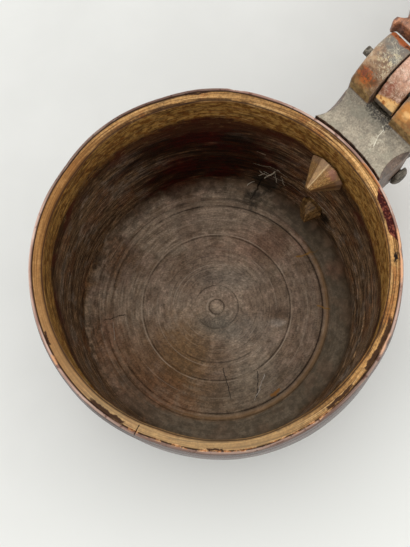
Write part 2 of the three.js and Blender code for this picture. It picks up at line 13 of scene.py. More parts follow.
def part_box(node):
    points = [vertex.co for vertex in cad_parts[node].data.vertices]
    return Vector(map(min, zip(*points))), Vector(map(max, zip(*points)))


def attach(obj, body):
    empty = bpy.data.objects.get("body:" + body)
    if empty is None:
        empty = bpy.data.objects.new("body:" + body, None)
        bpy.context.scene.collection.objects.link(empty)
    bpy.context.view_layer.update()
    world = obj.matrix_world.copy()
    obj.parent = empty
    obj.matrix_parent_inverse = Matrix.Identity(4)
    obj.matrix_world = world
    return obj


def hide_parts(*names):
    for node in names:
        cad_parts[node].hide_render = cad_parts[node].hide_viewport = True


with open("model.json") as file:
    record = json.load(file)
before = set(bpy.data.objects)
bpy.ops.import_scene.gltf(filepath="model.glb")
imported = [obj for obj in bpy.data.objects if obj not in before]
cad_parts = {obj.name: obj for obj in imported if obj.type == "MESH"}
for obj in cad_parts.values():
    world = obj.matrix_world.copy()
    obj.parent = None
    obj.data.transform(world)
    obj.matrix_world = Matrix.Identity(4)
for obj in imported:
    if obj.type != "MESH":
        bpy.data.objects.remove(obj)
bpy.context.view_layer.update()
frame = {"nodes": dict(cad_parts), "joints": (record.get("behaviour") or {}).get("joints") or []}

MM = 0.001
HANDLE_BEARING = math.radians(42)  # of the handle, counted in the picture from its right-hand side
WELD = 1e-6

vessel_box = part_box("body")
rim_z = vessel_box[1].z / MM
hinge = Vector(frame["joints"][0]["pos_m"]) / MM


# Meshes


def add_object(name, data):
    """A new object in the scene."""
    made = bpy.data.objects.new(name, data)
    bpy.context.scene.collection.objects.link(made)
    return made


def make_object(name, vertices, faces):
    """A smooth-shaded object from points in millimetres."""
    mesh = bpy.data.meshes.new(name)
    mesh.from_pydata((np.asarray(vertices, float) * MM).tolist(), [], faces)
    mesh.shade_smooth()
    mesh.update()
    return add_object(name, mesh)


def follow(start, steps):
    """Points along a profile, without its start.
    A step is (end, count) for a straight line, or (control, end, count) for a quadratic curve."""
    points = []
    start = np.array(start, float)
    for *control, end, count in steps:
        end = np.array(end, float)
        middle = np.array(control[0], float) if control else (start + end) / 2
        shares = np.arange(1, count + 1) / count
        points += [(1 - t) ** 2 * start + 2 * t * (1 - t) * middle + t * t * end for t in shares]
        start = end
    return points


def bake_modifiers(thing):
    """Replaces the object's mesh by the one that its modifiers give."""
    depsgraph = bpy.context.evaluated_depsgraph_get()
    mesh = bpy.data.meshes.new_from_object(thing.evaluated_get(depsgraph))
    thing.modifiers.clear()
    old = thing.data
    thing.data = mesh
    bpy.data.meshes.remove(old)
    return thing


def vertex_array(mesh, name="co"):
    """A measure of each of the mesh's vertices."""
    values = np.zeros(len(mesh.vertices) * 3)
    mesh.vertices.foreach_get(name, values)
    return values.reshape(-1, 3)


def add_attribute(thing, name, values):
    """Keeps a number for each point of the mesh, which materials can read."""
    attribute = thing.data.attributes.new(name, "FLOAT", "POINT")
    attribute.data.foreach_set("value", np.asarray(values, float))


def noise_array(points, scale, seed):
    """Smooth noise from -1 to 1 at each point, with lumps of 1/scale millimetres."""
    shift = Vector((seed * 17.3, seed * 5.1, seed * 9.7))
    return np.array([noise.noise(Vector(p) * scale + shift) for p in points])


# Vessel

AROUND = 720
FOOT = 75.4
SHOULDER = 81.2
BEAD = 80.8
CREST = 79.4
MOUTH = 73.9
FLOOR_Z = 12
BORE_FOOT = 74.6
FLOOR_CORNER = 7
WALL_LINE = 1.2
WALL_LINE_DEPTH = 0.8


def vessel_outside():
    """Profile of the outside, from the middle of the base up to the crest of the rim."""
    shoulder_z = rim_z - 14
    bead_z = rim_z - 8.5
    steps = [
        ((FOOT, 0), 24),
        ((78.6, 4.5), (76.3, 9), 14),
        ((76.5, 9.6), (77.4, 10.4), 4),
        ((87.9, 57.7), (SHOULDER, shoulder_z), 90),
    ]
    for start in (shoulder_z + 1, shoulder_z + 3):
        bottom = (SHOULDER - WALL_LINE_DEPTH, start + WALL_LINE / 2)
        steps += [((SHOULDER, start), 1), (bottom, (SHOULDER, start + WALL_LINE), 5)]
    steps += [
        ((BEAD, bead_z), 2),
        ((BEAD + 0.8, bead_z + 1.8), (BEAD, bead_z + 3.6), 6),
        ((80.4, rim_z - 2.5), (80, rim_z - 0.7), 8),
        ((79.9, rim_z), (CREST, rim_z), 4),
    ]
    return [np.zeros(2)] + follow((0, 0), steps)


def vessel_inside():
    """Profile of the lip, from the crest over the fine groove to the mouth, and of the bore."""
    return follow((CREST, rim_z), (
        ((79, rim_z), (78.8, rim_z - 0.3), 4),
        ((78.6, rim_z - 0.8), 2),
        ((78.35, rim_z - 0.35), 2),
        ((76.8, rim_z - 0.15), (75.1, rim_z - 0.4), 10),
        ((74.9, rim_z - 0.9), (74.4, rim_z - 1.0), 4),
        ((MOUTH, rim_z - 1.2), (MOUTH, rim_z - 2.2), 5),
        ((79.5, 65.5), (BORE_FOOT, FLOOR_Z + FLOOR_CORNER), 150),
        ((BORE_FOOT, FLOOR_Z), (BORE_FOOT - FLOOR_CORNER, FLOOR_Z), 12),
    ))


# Lines turned into the floor: radius, depth, width
FLOOR_LINES = ((63.4, 0.5, 0.5), (59.6, 0.45, 0.5), (41.3, 0.3, 0.4), (29, 0.12, 0.4), (14.5, 0.12, 0.4))
BAND_INSIDE = 59.9
BAND_OUTSIDE = 63.1
BAND_SLOPE = 0.8
BAND_HEIGHT = 0.3


def floor_height(radius):
    """Height of the floor: flat, with a raised band, turned lines and a shallow dish."""
    up, down = (radius - BAND_INSIDE) / BAND_SLOPE, (BAND_OUTSIDE - radius) / BAND_SLOPE
    height = FLOOR_Z + BAND_HEIGHT * np.clip(up, 0, 1) * np.clip(down, 0, 1)
    for place, depth, width in FLOOR_LINES:
        height -= depth * math.exp(-(((radius - place) / width) ** 2))
    height -= 0.5 * math.exp(-((radius / 9) ** 4))
    height += 0.45 * math.exp(-(((radius - 3.2) / 1.2) ** 2))
    height -= 0.5 * math.exp(-((radius / 1.3) ** 2))
    return height


def vessel_floor():
    """Profile of the floor, from the foot of the wall to its middle."""
    radii = np.linspace(BORE_FOOT - FLOOR_CORNER, 0, 180)[1:]
    return [np.array((radius, floor_height(radius))) for radius in radii]


# Worn places on the crest: angle in the picture, half its width in degrees, depth
CREST_WEAR = (
    (235, 7, 0.9), (312, 7, 0.8), (335, 1.6, 1.1), (3, 1.8, 0.9), (20, 8, 0.35), (83, 2.2, 0.5),
    (150, 5, 0.25), (268, 9, 0.4), (290, 3, 0.45),
)

# How far the rim has moved from a true circle: angle in the picture, millimetres outwards
RIM_SHIFT = (
    (0, 0.8), (18, 0.8), (34, 0.1), (52, 0.0), (72, 0.1), (86, 1.2), (96, 1.1), (108, 0.4), (122, 0.8),
    (134, 0.7), (146, 0.0), (160, 0.4), (182, 0.6), (200, 0.3), (220, 0.2), (232, 0.4), (244, 0.3),
    (252, -0.1), (264, 0.5), (280, 1.1), (292, 0.6), (304, 0.2), (318, 0.0), (336, 0.8), (350, 0.6),
    (360, 0.8),
)

# The same for the belly
BELLY_SHIFT = (
    (0, 0.0), (190, 0.0), (215, -0.4), (244, -1.2), (262, -1.0), (280, -0.2), (298, 0.8), (330, 0.8),
    (360, 0.0),
)


def shift_at(angles, table):
    """How far the wall stands outside its true circle at each bearing."""
    places, shifts = zip(*table)
    turned = np.degrees(angles + HANDLE_BEARING) % 360
    return np.interp(turned, places, shifts)


def clipped(share):
    return np.clip(share, 0, 1)


def smooth_step(share):
    share = clipped(share)
    return share**2 * (3 - 2 * share)


def crest_wear(angles):
    """How much of the crest is worn away at each bearing."""
    wear = np.zeros_like(angles)
    for place, half, depth in CREST_WEAR:
        away = np.angle(np.exp(1j * (angles - math.radians(place) + HANDLE_BEARING))) / math.radians(half)
        wear = np.maximum(wear, depth * np.exp(-(away**4)))
    return wear


OUTER_WALL = 76.6
CREST_INSIDE = 78.5
RIM_REACH = 30
SPARE = 0.1


def circle_noise(circle, lumps, heights, seed):
    """Noise round the vessel, with so many lumps per radian."""
    return noise_array(np.column_stack([circle * lumps, heights]), 1.0, seed)


def shape_vessel(points, radii, heights, angles):
    """Moves the turned points to what age and use have made of them."""
    circle = np.stack([np.cos(angles), np.sin(angles)], 1)
    top = clipped((heights - rim_z + 12) / 12)
    on_rim = clipped((radii - CREST_INSIDE) / 0.8) * clipped((heights - rim_z + 3) / 3)
    outside = radii > OUTER_WALL
    slow = circle_noise(circle, 1.6, np.zeros(len(angles)), 1)
    grain = circle_noise(circle, 5, heights * 0.35, 2)
    fine = np.abs(circle_noise(circle, 60, heights * 0.5, 3))
    worn = crest_wear(angles)
    near_top = smooth_step((heights - rim_z + RIM_REACH + 4) / RIM_REACH)
    above_foot = smooth_step((heights - 12) / 30)
    radial = 0.25 * slow * top + np.where(outside, 0.05, 0.16) * grain * (heights > FLOOR_Z + 4)
    radial += shift_at(angles, RIM_SHIFT) * near_top
    radial += shift_at(angles, BELLY_SHIFT) * outside * (1 - near_top) * above_foot
    radial -= on_rim * (0.35 * worn + 0.04 * fine)
    drop = on_rim * (worn * (0.6 + 0.4 * fine) + 0.05 * fine)
    rise = 0.15 * slow * top * (radii > MOUTH - 0.5)
    widest = vessel_box[1].x / MM - SPARE
    radial = np.minimum(radial, widest - radii)
    points[:, :2] += circle * radial[:, None]
    points[:, 2] += np.minimum(rise - drop, 0)
    return points


def make_vessel():
    """The turned vessel as one closed surface."""
    profile = np.array(vessel_outside() + vessel_inside() + vessel_floor())
    inner = profile[1:-1]
    turns = np.arange(AROUND) / AROUND * 2 * math.pi
    radii = np.repeat(inner[:, 0], AROUND)
    heights = np.repeat(inner[:, 1], AROUND)
    angles = np.tile(turns, len(inner))
    points = np.column_stack([radii * np.cos(angles), radii * np.sin(angles), heights])
    points = shape_vessel(points, radii, heights, angles)
    points = np.vstack([points, (0, 0, profile[0, 1]), (0, 0, profile[-1, 1])])
    base, top = len(points) - 2, len(points) - 1
    last = (len(inner) - 1) * AROUND
    around = [(step, (step + 1) % AROUND) for step in range(AROUND)]
    faces = [
        (low + step, low + after, low + AROUND + after, low + AROUND + step)
        for low in range(0, last, AROUND) for step, after in around
    ]
    for step, after in around:
        faces += [(base, after, step), (last + step, last + after, top)]
    vessel = make_object("vessel", points, faces)
    add_attribute(vessel, "turned_radius", np.append(radii, (0, 0)))
    add_attribute(vessel, "turned_height", np.append(heights, (profile[0, 1], profile[-1, 1])))
    return vessel


DRILL_RADIUS = 6.3
DRILL_LENGTH = 30
DRILL_X = 78


def cut_peg_hole(vessel, node):
    """Drills the vessel where a handle peg's shank goes through its wall."""
    low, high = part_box(node)
    centre = (low + high) / 2
    bpy.ops.mesh.primitive_cylinder_add(
        vertices=32, radius=DRILL_RADIUS * MM, depth=DRILL_LENGTH * MM,
        location=(DRILL_X * MM, centre.y, centre.z), rotation=(0, math.pi / 2, 0),
    )
    drill = bpy.context.active_object
    cut = vessel.modifiers.new("peg_hole", "BOOLEAN")
    cut.operation = "DIFFERENCE"
    cut.solver = "EXACT"
    cut.object = drill
    bake_modifiers(vessel)
    bpy.data.objects.remove(drill)


# Carved pieces


def cut_off(mesh, place, direction):
    """Takes off what lies beyond a plane, and closes the cut."""
    cutter = bmesh.new()
    cutter.from_mesh(mesh)
    cut = bmesh.ops.bisect_plane(
        cutter, geom=cutter.verts[:] + cutter.edges[:] + cutter.faces[:],
        plane_co=Vector(place) * MM, plane_no=direction, clear_outer=True,
    )
    rim = [part for part in cut["geom_cut"] if isinstance(part, bmesh.types.BMEdge)]
    bmesh.ops.contextual_create(cutter, geom=rim)
    cutter.to_mesh(mesh)
    cutter.free()


def carve(name, node, voxel, rounds, lumps, cuts=()):
    """A hand-cut copy of a CAD node: its edges worn round, its faces slightly uneven.
    The point attribute edge says how far it was rounded there, less than 0 in inner corners."""
    made = add_object(name, frame["nodes"][node].data.copy())
    made.data.name = name
    made.data.materials.clear()
    welded = bmesh.new()
    welded.from_mesh(made.data)
    bmesh.ops.remove_doubles(welded, verts=welded.verts, dist=WELD)
    welded.to_mesh(made.data)
    welded.free()
    for place, direction in cuts:
        cut_off(made.data, place, direction)
    remesh = made.modifiers.new("even_mesh", "REMESH")
    remesh.mode = "VOXEL"
    remesh.voxel_size = voxel * MM
    remesh.use_smooth_shade = True
    bake_modifiers(made)
    before = vertex_array(made.data) / MM
    smooth = made.modifiers.new("worn_edges", "SMOOTH")
    smooth.factor = 0.5
    smooth.iterations = rounds
    bake_modifiers(made)
    after = vertex_array(made.data) / MM
    normals = vertex_array(made.data, "normal")
    edge = np.einsum("ij,ij->i", before - after, normals) / voxel
    uneven = noise_array(after, 0.12, 4) + 0.4 * noise_array(after, 0.6, 5) - 1.1
    points = after + normals * (lumps * uneven)[:, None]
    made.data.vertices.foreach_set("co", (points * MM).ravel())
    made.data.update()
    add_attribute(made, "edge", edge)
    made.data.shade_smooth()
    return made


# Materials


class Value:
    """A socket whose value can be used in sums, as a number is."""

    def __init__(self, shader, socket):
        self.shader = shader
        self.socket = socket

    def apply(self, operation, *others):
        return self.shader.math(operation, self, *others)

    def __rsub__(self, other):
        return self.shader.math("SUBTRACT", other, self)


for method, operation in (
    ("add", "ADD"), ("radd", "ADD"), ("sub", "SUBTRACT"),
    ("mul", "MULTIPLY"), ("rmul", "MULTIPLY"), ("truediv", "DIVIDE"),
):
    setattr(Value, f"__{method}__", partialmethod(Value.apply, operation))


class Shader:
    """One node material. Lengths in it are millimetres.
    The directions right and up are those of the picture, seen from above."""

    def __init__(self, name):
        self.material = bpy.data.materials.new(name)
        self.material.use_nodes = True
        self.tree = self.material.node_tree
        self.tree.nodes.clear()
        output = self.node("OutputMaterial")
        self.surface = self.node("BsdfPrincipled")
        self.put(self.surface.outputs[0], output.inputs["Surface"])
        coordinates = self.node("TexCoord")
        scaled = self.node("VectorMath", Vector=coordinates.outputs["Object"])
        scaled.operation = "SCALE"
        scaled.inputs["Scale"].default_value = 1 / MM
        self.place = scaled.outputs[0]
        self.x, self.y, self.z = self.parts(self.place)
        self.facing_x, _, self.facing_z = self.parts(coordinates.outputs["Normal"])
        cosine, sine = math.cos(HANDLE_BEARING), math.sin(HANDLE_BEARING)
        self.right = self.x * cosine - self.y * sine
        self.up = self.x * sine + self.y * cosine
        self.radius = (self.x * self.x + self.y * self.y).apply("SQRT")

    def node(self, kind, **values):
        """A node with its inputs set to these numbers and colours, or linked to these sockets."""
        made = self.tree.nodes.new("ShaderNode" + kind)
        for name, value in values.items():
            self.put(value, made.inputs[name.replace("_", " ")])
        return made

    def parts(self, vector):
        return [Value(self, part) for part in self.node("SeparateXYZ", Vector=vector).outputs]

    def put(self, value, socket):
        if isinstance(value, Value):
            value = value.socket
        if isinstance(value, bpy.types.NodeSocket):
            self.tree.links.new(value, socket)
        elif isinstance(value, tuple) and len(socket.default_value) == 4:
            socket.default_value = (*value[:3], 1)
        else:
            socket.default_value = value

    def math(self, operation, *values, clamp=False):
        node = self.node("Math")
        node.operation = operation
        node.use_clamp = clamp
        for value, socket in zip(values, node.inputs):
            self.put(value, socket)
        return Value(self, node.outputs[0])

    def vector(self, x, y, z):
        return self.node("CombineXYZ", X=x, Y=y, Z=z).outputs[0]

    def noise(self, vector, scale, detail=3, roughness=0.5, distortion=0.0):
        settings = {"Scale": scale, "Detail": detail, "Roughness": roughness, "Distortion": distortion}
        return Value(self, self.node("TexNoise", Vector=vector, **settings).outputs[0])

    def turned(self, around, across, seed=0.0, detail=4, roughness=0.6):
        """Noise along the turning: lumps per radian around, lumps per millimetre across."""
        share = self.math("DIVIDE", around, self.radius + 0.01)
        along = self.radius - self.z + seed * 37
        return self.noise(self.vector(self.x * share, self.y * share, along * across), 1.0, detail, roughness)

    def band(self, value, low, high):
        """0 at low, 1 at high, smooth between them. Low may be the greater."""
        ends = {"From_Min": low, "From_Max": high}
        if low > high:
            ends = {"From_Min": high, "From_Max": low, "To_Min": 1, "To_Max": 0}
        node = self.node("MapRange", Value=value, **ends)
        node.interpolation_type = "SMOOTHSTEP"
        return Value(self, node.outputs["Result"])

    def line(self, value, place, half):
        """1 at the place, 0 beyond half on both sides."""
        return self.band((value - place).apply("ABSOLUTE"), half, 0)

    def oval(self, axes, place, size, ragged, grain, soft):
        """1 inside an oval whose outline is ragged."""
        offsets = [(axis - middle) / half for axis, middle, half in zip(axes, place, size)]
        reach = sum(offset * offset for offset in offsets).apply("SQRT")
        torn = self.noise(self.place, grain, 4, 0.6) - 0.5
        return self.band(reach + torn * ragged * 3, 1 + soft, 1 - soft)

    def spot(self, place, size, ragged=0.6, grain=0.12, soft=0.5):
        """1 inside a ragged oval given in right and up."""
        return self.oval((self.right, self.up), place, size, ragged, grain, soft)

    def blob(self, place, size, ragged=0.6, grain=0.3, soft=0.4):
        """1 inside a ragged ball given in the frame's own axes."""
        return self.oval((self.x, self.y, self.z), place, size, ragged, grain, soft)

    def bend(self, grain, waver):
        return (self.noise(self.place, grain, 3) - 0.5) * (2 * waver)

    def stroke(self, start, end, half, waver=1.5):
        """1 on a wavering line from start to end, given in right and up."""
        bent = self.bend(0.25, waver)
        return self.streak((self.right + bent, self.up - bent), start, end, half)

    def wall_stroke(self, start, end, half):
        """1 on a wavering line on the inside wall, given as bearings in the picture and heights."""
        bent = self.bend(0.5, 1)
        per_degree = math.radians(BORE_FOOT)
        around = self.math("ARCTAN2", self.up, self.right) * BORE_FOOT
        ends = [(degrees * per_degree, height) for degrees, height in (start, end)]
        return self.streak((around + bent, self.z - bent), *ends, half)

    def wander(self, start, end, half):
        """1 on a wavering line given in the frame's own axes."""
        bent = self.bend(0.5, 0.3)
        return self.streak((self.x + bent, self.y - bent, self.z), start, end, half)

    def streak(self, axes, start, end, half):
        """1 on a straight line from start to end, given in these axes."""
        run = [b - a for a, b in zip(start, end)]
        square = sum(step * step for step in run)
        offsets = [axis - place for axis, place in zip(axes, start)]
        reach = sum(offset * step for offset, step in zip(offsets, run))
        share = self.math("MULTIPLY", reach, 1 / square, clamp=True)
        aside = [offset - share * step for offset, step in zip(offsets, run)]
        away = sum(offset * offset for offset in aside).apply("SQRT")
        return self.band(away, half, half * 0.3)

    def towards(self, bearing):
        """1 on the side of the vessel at this bearing in the picture, -1 on the opposite side."""
        turn = math.radians(bearing)
        return (self.right * math.cos(turn) + self.up * math.sin(turn)) / (self.radius + 0.01)

    def bearing_from(self, bearing):
        """Degrees between this bearing in the picture and the place, without sign."""
        turned = self.math("ARCCOSINE", self.math("MINIMUM", self.towards(bearing), 0.99999))
        return turned * math.degrees(1)

    def sector(self, bearing, half, ragged):
        """1 within so many degrees of the bearing, with a ragged end."""
        return self.band(self.bearing_from(bearing) + ragged * half, half, half * 0.75)

    def shade(self, tint, value, low, high, first, last):
        """Multiplies a colour by first where the value is low, and by last where it is high."""
        share = self.band(value, low, high)
        return self.mix(1.0, tint, share * (last - first) + first, "MULTIPLY")

    def mix(self, factor, first, second, mode="MIX"):
        node = self.node("Mix")
        node.data_type = "RGBA"
        node.blend_type = mode
        for value, socket in ((factor, 0), (first, 6), (second, 7)):
            self.put(value, node.inputs[socket])
        return node.outputs[2]

    def blend(self, value, low, high, first, second):
        """The first colour where the value is below low, the second above high, mixed between."""
        return self.mix(self.band(value, low, high), first, second)

    def over(self, tint, value, low, high, strength, tone):
        """Lays a tone over the colour, nowhere at low and with its full strength at high."""
        return self.mix(self.band(value, low, high) * strength, tint, tone)

    def overlay(self, tint, noises, rows):
        """Lays tones over one another. A row: noise, low, high, strength, tone."""
        for name, *row in rows:
            tint = self.over(tint, getattr(noises, name), *row)
        return tint

    def blot(self, tint, strength, tone, *blob):
        """Lays a tone over the colour inside a ragged ball."""
        return self.mix(self.blob(*blob) * strength, tint, tone)

    def side(self, bearing, low, high):
        return self.band(self.towards(bearing), low, high)

    def attribute(self, name):
        node = self.node("Attribute")
        node.attribute_name = name
        return Value(self, node.outputs["Fac"])

    def finish(self, tint, roughness, height, depth, specular, coat=0.0, coat_roughness=0.3):
        """Connects the results. Height is in units of depth, which is in millimetres."""
        bump = self.node("Bump", Height=height, Strength=1, Distance=depth * MM)
        results = {
            "Base Color": tint, "Specular IOR Level": specular, "Roughness": roughness,
            "Coat Weight": coat, "Coat Roughness": coat_roughness, "Normal": bump.outputs[0],
        }
        for name, value in results.items():
            self.put(value, self.surface.inputs[name])
        return self.material


STREAKY = (0.38, 0.62)  # where the streaks start and are full


class Grain:
    """The noises that the vessel's colours share, from broad to fine."""

    def __init__(self, s):
        self.broad = s.turned(1.6, 0.1, 1, 3, 0.55)
        self.streaks = s.turned(2.2, 0.55, 0)
        self.dashes = s.turned(9, 0.9, 5, 3)
        self.scores = s.turned(3, 1.25, 7, 2)
        self.fine = s.turned(16, 2.2, 2)
        self.chatter = s.turned(15, 0.4, 11, 5, 0.7)
        self.blotches = s.noise(s.place, 0.045, 5, 0.62)
        self.patches = s.noise(s.place, 0.085, 4, 0.6)
        self.mottle = s.noise(s.place, 0.3, 4, 0.65)
        self.specks = s.noise(s.place, 1.0, 4, 0.65)


# Tones laid over each part of the inside wall. The wall comes in two copies, painted shaded and painted lit,
# for the sides that the light misses and reaches
SHADED_WALL_OVERLAYS = (
    ("blotches", 0.46, 0.56, 0.9, (0.034, 0.0016, 0.0004)),
    ("chatter", 0.62, 0.72, 0.15, (0.19, 0.115, 0.055)),
    ("dashes", 0.43, 0.35, 0.8, (0.004, 0.002, 0.001)),
)
LIT_WALL_OVERLAYS = (
    ("patches", 0.5, 0.6, 0.6, (0.19, 0.15, 0.115)),
    ("blotches", 0.52, 0.6, 0.6, (0.15, 0.062, 0.024)),
    ("scores", 0.57, 0.63, 0.6, (0.3, 0.215, 0.14)),
    ("dashes", 0.44, 0.36, 0.8, (0.02, 0.01, 0.005)),
)
MIDDLE_OVERLAYS = (
    ("patches", 0.48, 0.58, 0.8, (0.07, 0.012, 0.005)),
    ("chatter", 0.56, 0.64, 0.7, (0.3, 0.185, 0.08)),
    ("scores", 0.44, 0.36, 0.8, (0.008, 0.004, 0.002)),
)
TAN_OVERLAYS = (
    ("streaks", 0.52, 0.64, 0.5, (0.15, 0.042, 0.014)),
    ("dashes", 0.6, 0.68, 0.6, (0.5, 0.33, 0.15)),
    ("scores", 0.43, 0.37, 0.8, (0.035, 0.014, 0.004)),
)


# Depths below the rim where one colour of the wall gives way to the next
TAN_ENDS = (22.5, 18.5)
MIDDLE_ENDS = (40, 26)


def wall_colour(s, n):
    """Inside wall: tan and mottled under the mouth, then brown; painted shade makes it almost black and red
    behind, and a painted lit copy makes the other sides brown with grey streaks.
    """
    shaded_wall = s.blend(n.streaks, *STREAKY, (0.006, 0.0015, 0.0004), (0.036, 0.009, 0.002))
    shaded_wall = s.overlay(shaded_wall, n, SHADED_WALL_OVERLAYS)
    lit_dusty_wall = s.blend(n.streaks, *STREAKY, (0.066, 0.034, 0.015), (0.23, 0.14, 0.074))
    lit_dusty_wall = s.shade(s.overlay(lit_dusty_wall, n, LIT_WALL_OVERLAYS), n.fine, 0.36, 0.64, 0.55, 1.5)
    # Painted light: the shaded copy on the side at the top of the picture, the lit copy on the other sides.
    wall = s.blend(s.towards(90) + (n.broad - 0.5) * 0.9, 1.0, 0.72, shaded_wall, lit_dusty_wall)
    wall = s.shade(wall, n.specks, 0.34, 0.66, 0.65, 1.4)
    wall = s.shade(wall, n.chatter, 0.36, 0.64, 0.55, 1.55)

    middle = s.blend(n.streaks, *STREAKY, (0.02, 0.008, 0.003), (0.11, 0.052, 0.02))
    middle = s.overlay(middle, n, MIDDLE_OVERLAYS)
    # Painted shade: the middle band darker on the side at the top of the picture.
    middle = s.over(middle, s.towards(88), 0.75, 0.95, 0.6, (0.05, 0.01, 0.003))

    tan = s.blend(n.mottle, 0.4, 0.58, (0.18, 0.07, 0.012), (0.435, 0.24, 0.062))
    tan = s.shade(s.overlay(tan, n, TAN_OVERLAYS), n.chatter, 0.38, 0.62, 0.75, 1.15)
    tan = s.over(tan, n.specks, 0.4, 0.3, 0.6, (0.06, 0.02, 0.006))
    worn_off = s.band(n.chatter, 0.52, 0.42) * s.side(152, 0.55, 0.9)
    tan = s.mix(worn_off * 0.5, tan, (0.1, 0.046, 0.016))

    waver = (n.broad - 0.5) * 22 + (n.mottle - 0.5) * 14 + (n.chatter - 0.5) * 14
    waver = waver - s.towards(140) * 4
    for bearing, wider in ((22, 14), (215, 18)):
        waver = waver - s.side(bearing, 0.8, 0.97) * wider
    depth = rim_z - s.z + waver
    wall = s.blend(depth, *MIDDLE_ENDS, wall, middle)
    return s.blend(depth, *TAN_ENDS, wall, tan)


# Stains on the floor, and at (24, -14) and (34, -9) a painted sheen and highlight: place and size in the
# picture's directions, how strong, colour
FLOOR_STAINS_AND_SHEEN = (
    ((0, -52), (34, 12), 0.5, (0.135, 0.085, 0.045)), ((0, 52), (30, 9), 0.55, (0.3, 0.22, 0.16)),
    ((50, 0), (9, 30), 0.4, (0.15, 0.105, 0.075)), ((-42, -30), (20, 16), 0.5, (0.19, 0.088, 0.032)),
    ((20, -40), (22, 16), 0.6, (0.125, 0.102, 0.074)), ((0, 2), (38, 36), 0.45, (0.285, 0.215, 0.16)),
    ((-16, -29), (17, 21), 0.72, (0.115, 0.054, 0.011)), ((8, -12), (12, 7), 0.6, (0.095, 0.088, 0.072)),
    ((4, 16), (16, 6), 0.45, (0.125, 0.108, 0.088)), ((24, 36), (22, 9), 0.35, (0.24, 0.115, 0.075)),
    ((68, 22), (6, 5), 0.85, (0.36, 0.1, 0.048)), ((24, -14), (12, 7), 0.35, (0.2, 0.165, 0.13)),
    ((34, -9), (4, 2), 0.6, (0.33, 0.28, 0.23)), ((34, -4), (5, 3), 0.6, (0.08, 0.046, 0.028)),
    ((0, 0), (2.2, 2.2), 0.8, (0.33, 0.25, 0.18)), ((-4, -9), (9, 5), 0.55, (0.09, 0.08, 0.062)),
    ((-40, -52), (24, 12), 0.6, (0.17, 0.07, 0.03)), ((-60, -22), (9, 20), 0.5, (0.19, 0.085, 0.04)),
)


def floor_colour(s, n):
    """The floor: brown and scratched round and round, with stains and a painted sheen."""
    tint = s.blend(n.streaks, 0.36, 0.62, (0.15, 0.102, 0.066), (0.26, 0.195, 0.138))
    mauve = s.band(s.noise(s.place, 0.05, 3, 0.5), 0.46, 0.6)
    tint = s.mix(mauve * 0.45, tint, (0.23, 0.14, 0.1))
    tint = s.over(tint, n.blotches, 0.5, 0.6, 0.6, (0.13, 0.082, 0.046))
    for place, size, strength, tone in FLOOR_STAINS_AND_SHEEN:
        tint = s.mix(s.spot(place, size, 0.6, 0.12, 0.75) * strength, tint, tone)
    threads = s.noise(s.vector(s.right * 0.8, s.up * 1.7, s.z), 1.0, 3, 0.7)
    tint = s.shade(tint, threads, 0.34, 0.66, 0.82, 1.2)
    tint = s.shade(tint, n.dashes, 0.36, 0.64, 0.84, 1.18)
    tint = s.shade(tint, n.mottle, 0.34, 0.66, 0.8, 1.22)
    tint = s.shade(tint, n.specks, 0.32, 0.68, 0.84, 1.18)
    tint = s.shade(tint, n.blotches, 0.38, 0.62, 1.12, 0.86)
    return floor_marks(s, tint, n)


# Rings on the floor: radius, half width, how dark
FLOOR_RINGS = (
    (63.8, 0.8, 0.5), (59.4, 0.8, 0.85), (41.3, 0.55, 0.75), (29.6, 0.5, 0.3), (26.4, 0.4, 0.25),
    (22.6, 0.4, 0.2), (12.2, 0.6, 0.55), (4.2, 0.7, 0.75),
)

# Thin pale circles on the floor: radius, half width, how pale
FLOOR_THREADS = (
    (42.2, 0.35, 0.8), (33.5, 0.3, 0.45), (24.4, 0.35, 0.5), (22.0, 0.3, 0.35), (18.5, 0.3, 0.3),
    (5.4, 0.8, 0.6), (51.0, 0.3, 0.3), (65.6, 0.35, 0.35),
)

BLACK = (0.004, 0.003, 0.002)
DARK_SCRATCH = (0.03, 0.022, 0.018)
ORANGE_SCRATCH = (0.24, 0.12, 0.032)

# Strokes on the floor: start and end in the picture's directions, half width, colour
FLOOR_STROKES = (
    ((19.4, 63.2), (21.6, 66.6), 0.5, BLACK), ((21.6, 66.6), (24.4, 72.0), 0.85, BLACK),
    ((3.6, -34.4), (7.9, -50.8), 0.35, DARK_SCRATCH), ((22.8, -36.5), (22.1, -50.7), 0.35, DARK_SCRATCH),
    ((26.5, -38.0), (21.0, -52.0), 0.25, (0.34, 0.3, 0.26)),
    ((-63.2, -7.7), (-51.4, -4.5), 0.3, (0.03, 0.02, 0.014)),
    ((-58.0, -9.0), (-56.7, -19.1), 0.25, (0.34, 0.28, 0.22)),
    ((45.6, 28.7), (57.1, 32.8), 0.7, ORANGE_SCRATCH), ((56.8, 0.4), (63.4, -1.3), 0.6, ORANGE_SCRATCH),
    ((30.5, -49.5), (34.5, -46.5), 1.4, (0.23, 0.1, 0.026)),
)

GREENISH_BLACK = (0.008, 0.01, 0.007)
PALE_SCRATCH = (0.62, 0.56, 0.44)
PALEST_SCRATCH = (0.7, 0.64, 0.5)

